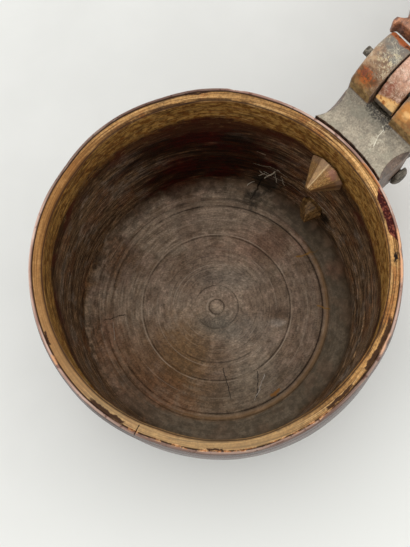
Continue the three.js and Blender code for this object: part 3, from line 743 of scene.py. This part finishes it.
# Strokes low on the wall: bearing in the picture and height of both ends, half width, colour
WALL_STROKES = (
    ((70.2, 26.0), (71.3, 15.0), 0.65, BLACK), ((64.6, 20.0), (63.8, 21.0), 1.1, GREENISH_BLACK),
    ((61.4, 25.0), (60.8, 26.0), 1.0, GREENISH_BLACK), ((71.8, 34.6), (68.9, 32.0), 0.36, PALE_SCRATCH),
    ((68.9, 32.0), (66.7, 34.0), 0.36, PALEST_SCRATCH), ((71.5, 28.7), (69.5, 33.3), 0.36, PALE_SCRATCH),
    ((69.9, 35.6), (67.0, 34.5), 0.36, PALEST_SCRATCH),
    ((69.2, 27.4), (66.2, 36.6), 0.36, PALEST_SCRATCH),
    ((66.2, 36.6), (65.3, 41.0), 0.36, PALEST_SCRATCH),
    ((76.0, 14.1), (73.2, 19.4), 0.36, (0.5, 0.46, 0.38)),
    ((74.6, 42.5), (71.1, 42.2), 0.27, (0.36, 0.32, 0.25)),
    ((71.1, 42.2), (67.5, 44.8), 0.27, (0.4, 0.35, 0.27)),
    ((67.5, 44.8), (64.0, 43.8), 0.27, (0.46, 0.4, 0.3)),
    ((64.4, 44.6), (60.1, 40.7), 0.27, (0.5, 0.44, 0.34)),
    ((65.5, 33.6), (60.1, 33.3), 0.27, (0.46, 0.4, 0.31)),
    ((65.4, 40.0), (63.6, 28.0), 0.27, (0.46, 0.4, 0.31)),
    ((62.6, 39.0), (60.0, 29.0), 0.27, (0.34, 0.29, 0.22)),
    ((59.1, 34.2), (49.3, 32.8), 0.27, (0.3, 0.25, 0.19)),
    ((47.6, 37.1), (38.0, 37.1), 0.36, (0.56, 0.49, 0.38)),
    ((73.7, 59.2), (70.5, 57.8), 0.4, (0.4, 0.34, 0.26)),
)


def floor_marks(s, tint, n):
    """Turned rings, cracks and scratches on the floor, and painted shade along the foot of the wall."""
    waver = n.blotches - 0.5
    radius = s.radius + waver * 0.8
    golden = s.line(radius, 62.0, 2.6) * s.sector(322, 78, n.mottle - 0.5)
    tint = s.mix(golden * 0.6, tint, (0.235, 0.125, 0.048))
    shown = s.band(n.broad + s.towards(170) * 0.05, 0.44, 0.56)
    for place, half, strength in FLOOR_THREADS:
        tint = s.mix(s.line(radius, place, half) * shown * strength, tint, (0.42, 0.34, 0.26))
    faded = s.band(n.blotches + s.right * 0.002, 0.32, 0.56)
    for place, half, dark in FLOOR_RINGS:
        tint = s.mix(s.line(radius, place, half) * faded * dark, tint, (0.014, 0.008, 0.005))
        # A faint painted highlight along the outer edge of each ring.
        beside = s.line(radius, place + half * 1.7, half)
        tint = s.mix(beside * (dark * 0.3), tint, (0.3, 0.21, 0.14))
    for start, end, half, tone in FLOOR_STROKES:
        tint = s.mix(s.stroke(start, end, half), tint, tone)
    outer = s.band(s.radius + waver * 6, 61.5, 65)
    shaded = s.side(325, -0.7, 0.3)
    tint = s.mix(outer * shaded * 0.75, tint, (0.098, 0.078, 0.052))
    arc = s.line(radius, 31.5, 0.6) * s.sector(272, 42, n.mottle - 0.5)
    tint = s.mix(arc * 0.6, tint, (0.02, 0.014, 0.01))
    # Painted shade where the floor meets the wall, stronger at the top of the picture.
    wall_foot_shade = s.band(s.radius + s.up * 0.05 + waver * 12, 67, 79)
    tint = s.mix(wall_foot_shade * 0.8, tint, (0.044, 0.024, 0.011))
    tint = s.mix(outer * s.band(n.patches, 0.5, 0.62) * 0.4, tint, (0.16, 0.1, 0.062))
    return s.mix(outer, tint, s.shade(tint, n.chatter + n.mottle, 0.84, 1.16, 0.85, 1.2))


# Sides of the lip with another tone: bearing, low, high, strength, tone
LIP_SIDES = (
    (245, 0.35, 0.85, 0.45, (0.39, 0.27, 0.14)),
    (178, 0.55, 0.9, 0.5, (0.25, 0.105, 0.026)),
)


def lip_colour(s, n):
    """Flat of the lip: golden, rubbed bare, with dark lines along the turning."""
    tint = s.blend(n.streaks, *STREAKY, (0.2, 0.098, 0.03), (0.38, 0.205, 0.072))
    tint = s.over(tint, n.mottle, 0.52, 0.64, 0.45, (0.46, 0.27, 0.11))
    tint = s.over(tint, n.patches, 0.52, 0.62, 0.5, (0.24, 0.085, 0.024))
    lines = s.turned(1.4, 1.9, 13, 2)
    tint = s.over(tint, lines, 0.56, 0.64, 0.6, (0.54, 0.34, 0.15))
    tint = s.over(tint, lines, 0.45, 0.39, 0.75, (0.06, 0.026, 0.01))
    tint = s.over(tint, n.scores, 0.43, 0.37, 0.7, (0.035, 0.014, 0.006))
    tint = s.over(tint, n.chatter, 0.46, 0.38, 0.35, (0.12, 0.06, 0.02))
    tint = s.shade(tint, n.specks, 0.34, 0.66, 0.72, 1.25)
    for bearing, *row in LIP_SIDES:
        tint = s.over(tint, s.towards(bearing), *row)
    return s.shade(tint, s.towards(10), 0.3, 0.9, 1.0, 1.3)


# Dark places on the lip: bearing in the picture, half its width, distance out, half width
LIP_STAINS = (
    (333, 11, 77.3, 1.1), (312, 7, 77.4, 0.9), (235, 7, 77.6, 1.1), (205, 3, 77.8, 0.6),
    (270, 3, 77.9, 0.5), (96, 4, 77.9, 0.5),
)

# Places on the crest rubbed to bare wood: bearing in the picture, half its width, colour
CREST_BARE = (
    (30, 6, (0.42, 0.16, 0.045)), (2, 9, (0.74, 0.4, 0.22)), (334, 4, (0.66, 0.38, 0.24)),
    (212, 2, (0.62, 0.32, 0.16)),
)


def lacquer_share(s, worn):
    """1 where lacquer is left on the lip: a patch that narrows to both ends."""
    bearing = s.bearing_from(16)
    inner_edge = 78.2 - s.band(bearing, 9.6, 5.5) * 2.8
    lacquer = s.band(s.across + worn * 1.2 - inner_edge, -0.2, 0.2) * s.band(s.across, 78.9, 78.5)
    return lacquer * s.band(bearing + worn * 4, 9.6, 9.0)


def rim_marks(s, tint, n):
    """Dark lines beside the crest and the lip, lacquer, stains, bare places and a split."""
    worn = n.mottle - 0.5
    on_top = s.band(s.level, rim_z - 3.0, rim_z - 1.8)
    for place, half, out, spread in LIP_STAINS:
        aside = (s.across + worn * 2.6 - out).apply("ABSOLUTE")
        here = s.sector(place, half, worn) * s.band(aside, spread, spread * 0.6)
        tint = s.mix(here * on_top * 0.95, tint, (0.03, 0.011, 0.005))
    groove = s.line(s.across, 78.5, 0.62) * on_top
    tint = s.mix(groove * 0.95, tint, (0.016, 0.005, 0.003))
    arris_place = MOUTH + 0.6 + (rim_z - 1.2) * 0.5
    arris = s.line(s.across + s.level * 0.5 + (n.blotches - 0.5) * 0.3, arris_place, 0.85)
    tint = s.mix(arris * s.band(s.across, 76.5, 76.0) * 0.9, tint, (0.022, 0.008, 0.004))
    for place, half, tone in CREST_BARE:
        here = s.sector(place, half, worn) * s.line(s.across + worn * 1.2, 79.1, 0.9)
        tint = s.mix(here * on_top, tint, tone)
    chipped = s.band(n.fine + worn, 0.5, 0.58) * s.sector(275, 42, worn)
    chips = s.line(s.across + worn * 1.6, 78.7, 0.8) * on_top * chipped
    tint = s.mix(chips, tint, s.blend(n.specks, 0.45, 0.55, (0.46, 0.17, 0.055), (0.74, 0.44, 0.22)))
    lacquer = lacquer_share(s, worn) * on_top
    flaked = s.blend(n.specks + n.mottle, 1.0, 1.16, (0.036, 0.004, 0.003), (0.19, 0.05, 0.028))
    tint = s.mix(lacquer, tint, flaked)
    burnt = s.spot((77.5, 2.3), (0.9, 2.6), 1.0, 0.9, 0.5) * on_top
    tint = s.mix(burnt, tint, (0.008, 0.004, 0.003))
    split = s.stroke((-31.0, -69.0), (-33.4, -74.2), 0.32, 0.5) * on_top
    return s.mix(split, tint, (0.006, 0.003, 0.002))


def crest_reflection_colour(s, n):
    """The rounded crest: painted as a reflection on its varnish, pinkish grey in long streaks, darker towards
    the handle.
    """
    tint = s.blend(n.streaks, 0.4, 0.6, (0.3, 0.175, 0.135), (0.56, 0.385, 0.31))
    tint = s.over(tint, n.dashes, 0.6, 0.68, 0.6, (0.7, 0.54, 0.45))
    tint = s.over(tint, n.mottle, 0.44, 0.36, 0.7, (0.12, 0.04, 0.026))
    tint = s.shade(tint, s.towards(285), 0.3, 0.9, 1.0, 0.55)
    return s.shade(tint, s.towards(122), 0.72, 0.9, 1.0, 0.45)


def inside_colour(s, n):
    """Everything inside the vessel, up to the flat of the lip."""
    floor = floor_colour(s, n)
    creep = s.band(s.z + (n.blotches - 0.5) * 14 + s.right * -0.04, FLOOR_Z + 9, FLOOR_Z + 1)
    inside = s.mix(creep, wall_colour(s, n), floor)
    inside = s.blot(inside, 0.8, (0.012, 0.011, 0.008), (60, 32, 22), (14, 8, 10), 0.7, 0.15)
    # Painted shadow: black on the wall beside the lower peg.
    inside = s.blot(inside, 0.9, BLACK, (73, -5.5, 29), (4, 3.6, 7), 0.5, 0.3)
    on_wall = s.band(s.radius, 66.5, 68.5)
    for start, end, half, tone in WALL_STROKES:
        inside = s.mix(s.wall_stroke(start, end, half) * on_wall, inside, tone)
    return s.mix(s.band(s.level, rim_z - 1.9, rim_z - 1.2), inside, lip_colour(s, n))


# Dark lines round the outside: distance below the rim, half width
OUTER_LINES = ((4.6, 0.5), (9.0, 0.6), (12.4, 0.6))


def outside_colour(s, n):
    """Dark varnish, with the turned lines and the rubbed crest, painted pinkish grey as a reflection."""
    varnish = s.blend(n.streaks, 0.3, 0.7, (0.032, 0.01, 0.006), (0.078, 0.026, 0.015))
    varnish = s.shade(varnish, n.blotches, 0.36, 0.62, 0.75, 1.3)
    varnish = s.over(varnish, n.specks, 0.6, 0.72, 0.5, (0.16, 0.065, 0.04))
    for drop, half in OUTER_LINES:
        varnish = s.mix(s.line(s.level, rim_z - drop, half) * 0.8, varnish, (0.006, 0.002, 0.002))
    return s.mix(s.band(s.level, rim_z - 1.1, rim_z - 0.6), varnish, crest_reflection_colour(s, n))


def vessel_material():
    """Turned wood: dark inside, tan where the lip is rubbed bare, varnished outside."""
    s = Shader("vessel_wood")
    s.across = s.attribute("turned_radius")
    s.level = s.attribute("turned_height")
    n = Grain(s)
    inside, outside = inside_colour(s, n), outside_colour(s, n)
    wall = s.band(s.across, 78.6, 78.8)
    foot = s.band(s.across, 75.0, 75.4) * s.band(s.level, 19, 17)
    under = s.band(s.level, 8, 6)
    outer = s.math("MAXIMUM", wall, s.math("MAXIMUM", foot, under))
    tint = rim_marks(s, s.mix(outer, inside, outside), n)
    varnished = outer * s.band(s.level, rim_z - 0.8, rim_z - 1.6)
    roughness = 0.62 - varnished * 0.24 + (n.specks - 0.5) * 0.3
    hair = s.turned(40, 7.0, 3, 2)
    return s.finish(
        tint, roughness, height=n.streaks * 0.7 + n.fine * 0.5 + hair * 0.25 + n.specks * 0.25,
        depth=0.28, specular=0.1, coat=varnished * 0.45, coat_roughness=0.22,
    )


# How much the grain is drawn out along each axis
ALONG_X = (0.09, 1, 1)
ALONG_Z = (1, 1, 0.09)


class CutGrain:
    """The noises of hand-cut wood whose grain runs along one axis."""

    def __init__(self, s, stretch):
        axes = [axis * share for axis, share in zip((s.x, s.y, s.z), stretch)]
        self.grain = s.noise(s.vector(*(axis * 0.55 for axis in axes)), 1.0, 4, 0.6, 0.4)
        self.fibres = s.noise(s.vector(*(axis * 1.6 for axis in axes)), 1.0, 3, 0.6)
        self.blotches = s.noise(s.place, 0.11, 4, 0.62)
        self.mottle = s.noise(s.place, 0.38, 4, 0.65)
        self.specks = s.noise(s.place, 1.2, 4, 0.65)
        self.height = self.grain * 0.4 + self.fibres * 0.5 + self.specks * 0.4


def cut_wood(s, n, dark, light, warm):
    """The plain colour of hand-cut wood."""
    tint = s.blend(n.grain, 0.34, 0.66, dark, light)
    tint = s.mix(s.band(n.blotches, 0.48, 0.6) * 0.7, tint, warm)
    tint = s.shade(tint, n.fibres, 0.36, 0.64, 1.25, 0.65)
    tint = s.shade(tint, n.mottle, 0.36, 0.64, 0.7, 1.3)
    tint = s.shade(tint, n.specks, 0.34, 0.66, 0.78, 1.22)
    return tint


def worn_edges(s, tint, specks, pale, darkening, strength):
    """Pale on the edges, where hands have rubbed the wood, with a painted highlight along them; darkened in
    the inner corners.
    """
    edge = s.attribute("edge")
    tint = s.mix(s.band(edge + (specks - 0.5) * 0.3, 0.08, 0.35) * strength, tint, pale)
    return s.mix(s.band(edge, -0.08, -0.35) * 0.85, tint, darkening)


def scratches(s, tint, tone, seed, amount):
    """Short pale scratches that cross each other."""
    for turn in (0.6, -0.35, 1.2):
        along = s.x * math.cos(turn) + s.y * math.sin(turn) + seed
        across = s.y * math.cos(turn) - s.x * math.sin(turn)
        hair = s.noise(s.vector(along * 0.22, across * 1.3, s.z * 0.6 + seed), 1.0, 2, 0.5, 0.8)
        gate = s.noise(s.vector(s.x * 0.2, s.y * 0.2, s.z * 0.2 + seed + turn), 1.0, 2)
        tint = s.mix(s.line(hair, 0.5, 0.035) * s.band(gate, 0.48, 0.58) * amount, tint, tone)
    return tint


NECK_Z = 117.5
NECK_SCRATCHES = (((88, -7.5), (93, -5.5)), ((93, -5.5), (96.5, -5)), ((96, -6), (97.5, -3.5)))


def neck_colour(s, tint, n):
    """The neck's flat top: grey and finely speckled, scratched, with painted shade beside the knuckle."""
    stone = s.blend(n.specks, 0.34, 0.66, (0.225, 0.188, 0.135), (0.365, 0.315, 0.235))
    stone = s.shade(stone, n.mottle, 0.38, 0.62, 0.8, 1.15)
    stone = s.over(stone, n.blotches, 0.5, 0.64, 0.5, (0.235, 0.22, 0.16))
    stone = s.shade(stone, s.x + (n.blotches - 0.5) * 14 + s.y * 0.25, 86, 95, 1.05, 0.72)
    chalky = s.blob((90, -7, NECK_Z), (4.5, 3, 4), 0.9, 0.5) * s.band(n.mottle, 0.5, 0.58)
    stone = s.mix(chalky * 0.5, stone, (0.52, 0.48, 0.37))
    for start, end in NECK_SCRATCHES:
        line = s.wander((*start, NECK_Z), (*end, NECK_Z), 0.32)
        stone = s.mix(line * 0.9, stone, (0.8, 0.76, 0.62))
    # Painted shade on the neck beside the knuckle, broken up by specks.
    darkening = s.blob((101.5, 1.5, 118), (4.5, 8, 5), 0.7, 0.3) * s.band(n.specks, 0.66, 0.44)
    stone = s.mix(darkening * 0.95, stone, (0.02, 0.015, 0.01))
    on_neck = s.band(s.facing_z, 0.55, 0.85) * s.band(s.z, hinge.z - 8.5, hinge.z - 10.5)
    return s.mix(on_neck, tint, stone)


def ear_top_colour(s, n):
    """The ears from above: beige, grey behind, orange where they are rubbed, with a painted highlight on the
    right ear.
    """
    above = s.blend(n.blotches, 0.4, 0.58, (0.335, 0.205, 0.118), (0.235, 0.135, 0.075))
    above = s.shade(above, n.mottle, 0.38, 0.62, 0.75, 1.25)
    above = s.blot(above, 0.9, (0.13, 0.126, 0.108), (119, 13, 136), (7, 9, 6), 0.8, 0.2, 0.5)
    pale = s.blob((110, 12, 137), (5, 6, 5), 0.9, 0.3) * s.band(n.mottle + n.specks, 1.03, 1.12)
    above = s.mix(pale * 0.8, above, (0.6, 0.5, 0.3))
    above = scratches(s, above, (0.6, 0.54, 0.4), 7.7, 0.6)
    above = s.blot(above, 1, (0.13, 0.05, 0.015), (102, 15.5, 127.5), (5, 6.4, 7), 0.8, 0.3, 0.6)
    ember = s.blob((102.2, 16.2, 128), (3.3, 3.8, 5), 1.2, 0.4, 0.5)
    above = s.mix(ember * s.band(n.specks + n.mottle, 0.87, 1.09), above, (0.44, 0.09, 0.008))
    above = s.blot(above, 0.5, (0.1, 0.026, 0.024), (104.2, 17.6, 130), (1.6, 1, 3), 1.5, 0.5, 0.6)
    above = s.mix(s.band(s.y, -5, -6) * s.band(s.x, 108, 105), above, (0.33, 0.135, 0.045))
    above = s.blot(above, 1, (0.56, 0.235, 0.056), (103.2, -8.2, 129), (4.2, 3.6, 8), 0.5, 0.4)
    # A painted highlight on the rubbed front of the right ear.
    above = s.blot(above, 1, (0.88, 0.5, 0.19), (103, -9, 130), (1.6, 1.9, 3), 0.7, 0.5, 0.5)
    behind = s.band(s.x - s.z * 0.6 + (n.blotches - 0.5) * 5, hinge.x - 74.8, hinge.x - 73.4)
    above = s.mix(behind * 0.9, above, (0.34, 0.08, 0.014))
    return s.mix(behind * s.band(n.mottle, 0.48, 0.56) * 0.9, above, (0.045, 0.012, 0.006))


def ear_colour(s, tint, n):
    """The ears, olive brown on the front."""
    ear = s.blend(s.facing_z, 0.15, 0.45, tint, ear_top_colour(s, n))
    behind_neck = s.band(s.x, hinge.x - 14, hinge.x - 13)
    ear = s.mix(s.band(s.z, hinge.z - 9, hinge.z - 7) * behind_neck, tint, ear)
    front = s.blend(n.mottle, 0.42, 0.58, (0.15, 0.082, 0.026), (0.29, 0.18, 0.066))
    facing_vessel = s.band(s.facing_x, -0.8, -0.93) * s.band(s.z, hinge.z - 12.5, hinge.z - 11.5)
    return s.mix(facing_vessel * behind_neck, ear, front)


def handle_material():
    """The handle: brown, with a grey neck and beige ears."""
    s = Shader("handle_wood")
    n = CutGrain(s, ALONG_Z)
    tint = cut_wood(s, n, (0.085, 0.052, 0.036), (0.2, 0.13, 0.09), (0.15, 0.075, 0.04))
    tint = ear_colour(s, neck_colour(s, tint, n), n)
    tint = worn_edges(s, tint, n.specks, (0.5, 0.42, 0.32), (0.012, 0.008, 0.006), 0.6)
    return s.finish(
        tint, roughness=0.48 + 0.25 * (n.specks - 0.5), height=n.height,
        depth=0.22, specular=0.35, coat=0.1,
    )


def knuckle_colour(s, n):
    """The lid's knuckle from above: pink, rubbed and scratched."""
    pink = s.blend(n.blotches, 0.42, 0.58, (0.46, 0.245, 0.155), (0.26, 0.12, 0.065))
    pink = s.over(pink, n.mottle, 0.5, 0.6, 0.7, (0.62, 0.37, 0.27))
    pink = s.shade(pink, n.specks, 0.36, 0.64, 0.78, 1.2)
    pink = s.blot(pink, 0.8, (0.27, 0.075, 0.038), (104, 5, 133), (4, 3.5, 6), 0.8, 0.4)
    return scratches(s, pink, (0.74, 0.56, 0.42), 1.9, 0.8)


def lid_material():
    """The lid: reddish brown under old polish, its knuckle rubbed to pink and orange."""
    s = Shader("lid_wood")
    n = CutGrain(s, ALONG_X)
    tint = cut_wood(s, n, (0.12, 0.044, 0.026), (0.33, 0.145, 0.085), (0.36, 0.145, 0.06))
    board = s.band(s.x + (n.blotches - 0.5) * 20, hinge.x + 14, hinge.x + 30)
    tint = s.mix(board * 0.6, tint, (0.12, 0.046, 0.028))
    near_hinge = s.band(s.x, hinge.x + 11, hinge.x + 8)
    tint = s.mix(near_hinge * s.band(s.facing_z, 0.1, 0.4), tint, knuckle_colour(s, n))
    slope = s.z * 0.5 + s.x + s.y * 0.35 + (n.mottle - 0.5) * 3.5
    golden = s.blend(n.mottle, 0.4, 0.52, (0.44, 0.15, 0.034), (0.96, 0.55, 0.2))
    golden = s.blot(golden, 0.8, (0.96, 0.64, 0.29), (101.5, -1.5, 125), (3, 3.5, 5), 0.6, 0.5)
    tint = s.mix(near_hinge * s.band(slope, 169.2, 168.0), tint, golden)
    front = near_hinge * s.band(s.facing_x, -0.7, -0.9) * s.band(s.z, hinge.z - 7.5, hinge.z - 8.5)
    face = s.blend(n.mottle, 0.42, 0.58, (0.085, 0.065, 0.045), (0.19, 0.15, 0.11))
    tint = s.mix(front, tint, face)
    tint = worn_edges(s, tint, n.specks, (0.66, 0.4, 0.24), (0.012, 0.006, 0.004), 0.6)
    return s.finish(
        tint, roughness=0.4 + 0.25 * (n.specks - 0.5), height=n.height,
        depth=0.2, specular=0.4, coat=0.3, coat_roughness=0.25,
    )


# Painted highlight and shade lines along the ridges of the upper peg's head: angle about its axis, half
# width, strength, colour
PEG_RIDGE_LIGHT_AND_SHADE = (
    (60, 5, 0.75, (0.15, 0.075, 0.03)),
    (88, 4, 0.75, (0.8, 0.6, 0.34)),
    (95, 4, 0.6, (0.27, 0.15, 0.06)),
)


def peg_facet_light(s, tint, specks):
    """The upper peg's head, cut in flat facets: painted lighter and darker facet by facet as light falls,
    with painted highlight and shade lines on the ridges, reddish towards the wall, painted shade below.
    """
    low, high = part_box("upper_handle_peg")
    middle = (low + high) / 2 / MM
    angle = s.math("ARCTAN2", s.z - middle.z, s.y - middle.y) * math.degrees(1) + (specks - 0.5) * 5
    # Painted light: the facets below 60 degrees darker, those up to 87 degrees lighter.
    tint = s.over(tint, angle, 61, 59, 0.5, (0.15, 0.085, 0.038))
    tint = s.mix(s.band(angle, 88, 86) * s.band(angle, 59, 61) * 0.5, tint, (0.44, 0.29, 0.165))
    for place, half, strength, tone in PEG_RIDGE_LIGHT_AND_SHADE:
        tint = s.mix(s.line(angle, place, half) * strength, tint, tone)
    # Painted shade on the facets below.
    tint = s.over(tint, angle, 141, 146, 0.85, (0.11, 0.05, 0.02))
    tint = s.blot(tint, 0.6, (0.46, 0.18, 0.14), (71.5, -2.5, 98.5), (2.4, 3.4, 3.4), 0.8, 0.4, 0.5)
    return s.over(tint, s.x, 70.6, 72.4, 0.3, (0.27, 0.175, 0.13))


def peg_material(name, dark, light, pale, facets=None):
    """A peg cut with a knife: its grain runs along it, and its ridges are pale."""
    s = Shader(name)
    grain = s.noise(s.vector(s.x * 0.1, s.y * 0.8, s.z * 0.8), 1.0, 4, 0.6, 0.3)
    fibres = s.noise(s.vector(s.x * 0.35, s.y * 2.6, s.z * 2.6), 1.0, 3, 0.6)
    mottle = s.noise(s.place, 0.45, 4, 0.65)
    specks = s.noise(s.place, 1.4, 3, 0.6)
    tint = s.blend(grain, 0.34, 0.64, dark, light)
    tint = s.shade(tint, fibres, 0.36, 0.64, 1.25, 0.62)
    tint = s.shade(tint, mottle, 0.36, 0.64, 0.7, 1.25)
    tint = s.mix(s.band(specks, 0.58, 0.7) * 0.5, tint, pale)
    if facets:
        tint = facets(s, tint, specks)
    darkening = tuple(share * 0.1 for share in dark)
    tint = worn_edges(s, tint, specks, pale, darkening, 0.85)
    return s.finish(
        tint, roughness=0.5 + 0.2 * (specks - 0.5), height=grain * 0.4 + fibres * 0.5 + specks * 0.2,
        depth=0.2, specular=0.15, coat=0.05,
    )


def dress(piece, body, node, material):
    """Gives a piece its material and its place in the frame."""
    piece.data.materials.clear()
    piece.data.materials.append(material)
    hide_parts(node)
    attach(piece, body)


# Stage


FLOOR_REACH = 3000


def make_floor():
    """A plain pale table, slightly uneven in tone, with painted light towards the lower right and behind the
    handle.
    """
    corners = [(x * FLOOR_REACH, y * FLOOR_REACH, 0) for x, y in ((-1, -1), (1, -1), (1, 1), (-1, 1))]
    floor = make_object("floor", corners, [(0, 1, 2, 3)])
    s = Shader("pale_table")
    mottle = s.noise(s.place, 0.012, 4, 0.55)
    tint = s.blend(mottle, 0.35, 0.65, (0.66, 0.665, 0.645), (0.69, 0.695, 0.675))
    # Painted light: the table is paler towards the lower right and in a pool behind the handle, where the
    # vessel and the raised lid cast shade.
    far = s.right * 0.6 - s.up * 0.8
    tint = s.blend(far, -60, 150, tint, (0.8, 0.81, 0.785))
    painted_light_pool = s.spot((135, 60), (52, 62), 0.0, 0.1, 0.7)
    tint = s.mix(painted_light_pool, tint, (0.97, 0.975, 0.945))
    floor.data.materials.append(s.finish(tint, roughness=0.8, height=mottle, depth=0.05, specular=0.3))


PICTURE_TURN = Matrix.Rotation(-HANDLE_BEARING, 4, "Z")  # from the picture's directions to the frame's
CAMERA_FROM_RIM = Vector((3.3, -79.6, 329.8)) * MM
CAMERA_TILT = math.radians(12.73)
CAMERA_LEAN = math.radians(1.27)
FOCAL_PIXELS = 790
PICTURE_HEIGHT = 547
SENSOR = 36
CLIP_START = 0.01
LAMP_TARGET = Vector((0, 0, 60)) * MM
WORLD_COLOUR = (1.0, 0.995, 0.975, 1)
WORLD_STRENGTH = 0.84


def make_camera():
    data = bpy.data.cameras.new("camera")
    data.sensor_width = SENSOR
    data.lens = FOCAL_PIXELS / PICTURE_HEIGHT * SENSOR
    data.clip_start = CLIP_START
    camera = add_object("camera", data)
    turn = Matrix.Rotation(CAMERA_TILT, 4, "X") @ Matrix.Rotation(CAMERA_LEAN, 4, "Y")
    at_rim = Matrix.Translation((0, 0, rim_z * MM)) @ PICTURE_TURN
    camera.matrix_world = at_rim @ Matrix.Translation(CAMERA_FROM_RIM) @ turn
    bpy.context.scene.camera = camera


def make_lamp(name, place, size, power):
    """A square soft lamp at a place given in the picture's directions, aimed at the vessel."""
    data = bpy.data.lights.new(name, "AREA")
    data.size = size
    data.energy = power
    lamp = add_object(name, data)
    spot = PICTURE_TURN @ Vector(place)
    lamp.location = spot
    lamp.rotation_euler = (spot - LAMP_TARGET).to_track_quat("Z", "Y").to_euler()


def make_world():
    world = bpy.data.worlds.new("studio")
    world.use_nodes = True
    background = world.node_tree.nodes["Background"]
    background.inputs["Color"].default_value = WORLD_COLOUR
    background.inputs["Strength"].default_value = WORLD_STRENGTH
    bpy.context.scene.world = world


make_camera()
make_world()
make_lamp("key", (-0.2, 0.28, 1.5), 1.8, 15)
make_floor()

handle_wood = handle_material()
lid_wood = lid_material()
golden_peg = peg_material(
    "peg_wood_golden", dark=(0.25, 0.12, 0.038), light=(0.43, 0.245, 0.088), pale=(0.66, 0.45, 0.22),
    facets=peg_facet_light,
)
brown_peg = peg_material(
    "peg_wood_brown", dark=(0.08, 0.037, 0.012), light=(0.23, 0.125, 0.042), pale=(0.38, 0.26, 0.13),
)
grey_peg = peg_material(
    "peg_wood_grey", dark=(0.06, 0.05, 0.038), light=(0.18, 0.155, 0.12), pale=(0.42, 0.38, 0.31),
)

vessel = make_vessel()
for peg in ("upper_handle_peg", "lower_handle_peg"):
    cut_peg_hole(vessel, peg)
dress(vessel, "vessel", "body", vessel_material())

lower_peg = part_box("lower_handle_peg")
lower_tip = Vector((lower_peg[0].x, 0, (lower_peg[0].z + lower_peg[1].z) / 2)) / MM

# Planes that cut the lower peg's tip blunt: a point on it and the direction that goes
TIP_CUTS = (
    (lower_tip + Vector((3.6, 0, 0)), (-1, 0.15, -0.35)),
    (lower_tip + Vector((4.0, 1.2, 0)), (-0.8, 0.6, 0.2)),
)

# Carved pieces: name, node, body, slot, material, voxel, rounds of smoothing, unevenness
CARVED = (
    ("carved_handle", "handle", "vessel", "handle_wood", handle_wood, 0.5, 4, 0.12),
    ("upper_peg", "upper_handle_peg", "vessel", "peg_wood", golden_peg, 0.35, 3, 0.1),
    ("lower_peg", "lower_handle_peg", "vessel", "peg_wood", brown_peg, 0.35, 3, 0.1),
    ("cross_peg", "neck_cross_peg", "vessel", "handle_wood", grey_peg, 0.3, 3, 0.05),
    ("pin", "hinge_pin", "vessel", "peg_wood", grey_peg, 0.3, 3, 0.03),
    ("lid_board", "lid", "lid", "lid_wood", lid_wood, 0.6, 3, 0.1),
    ("thumb_rest", "thumbpiece", "lid", "lid_wood", lid_wood, 0.4, 5, 0.08),
)
for name, node, body, slot_name, material, voxel, rounds, lumps in CARVED:
    cuts = TIP_CUTS if name == "lower_peg" else ()
    dress(carve(name, node, voxel, rounds, lumps, cuts), body, node, material)

bpy.context.scene.view_settings.view_transform = "Standard"
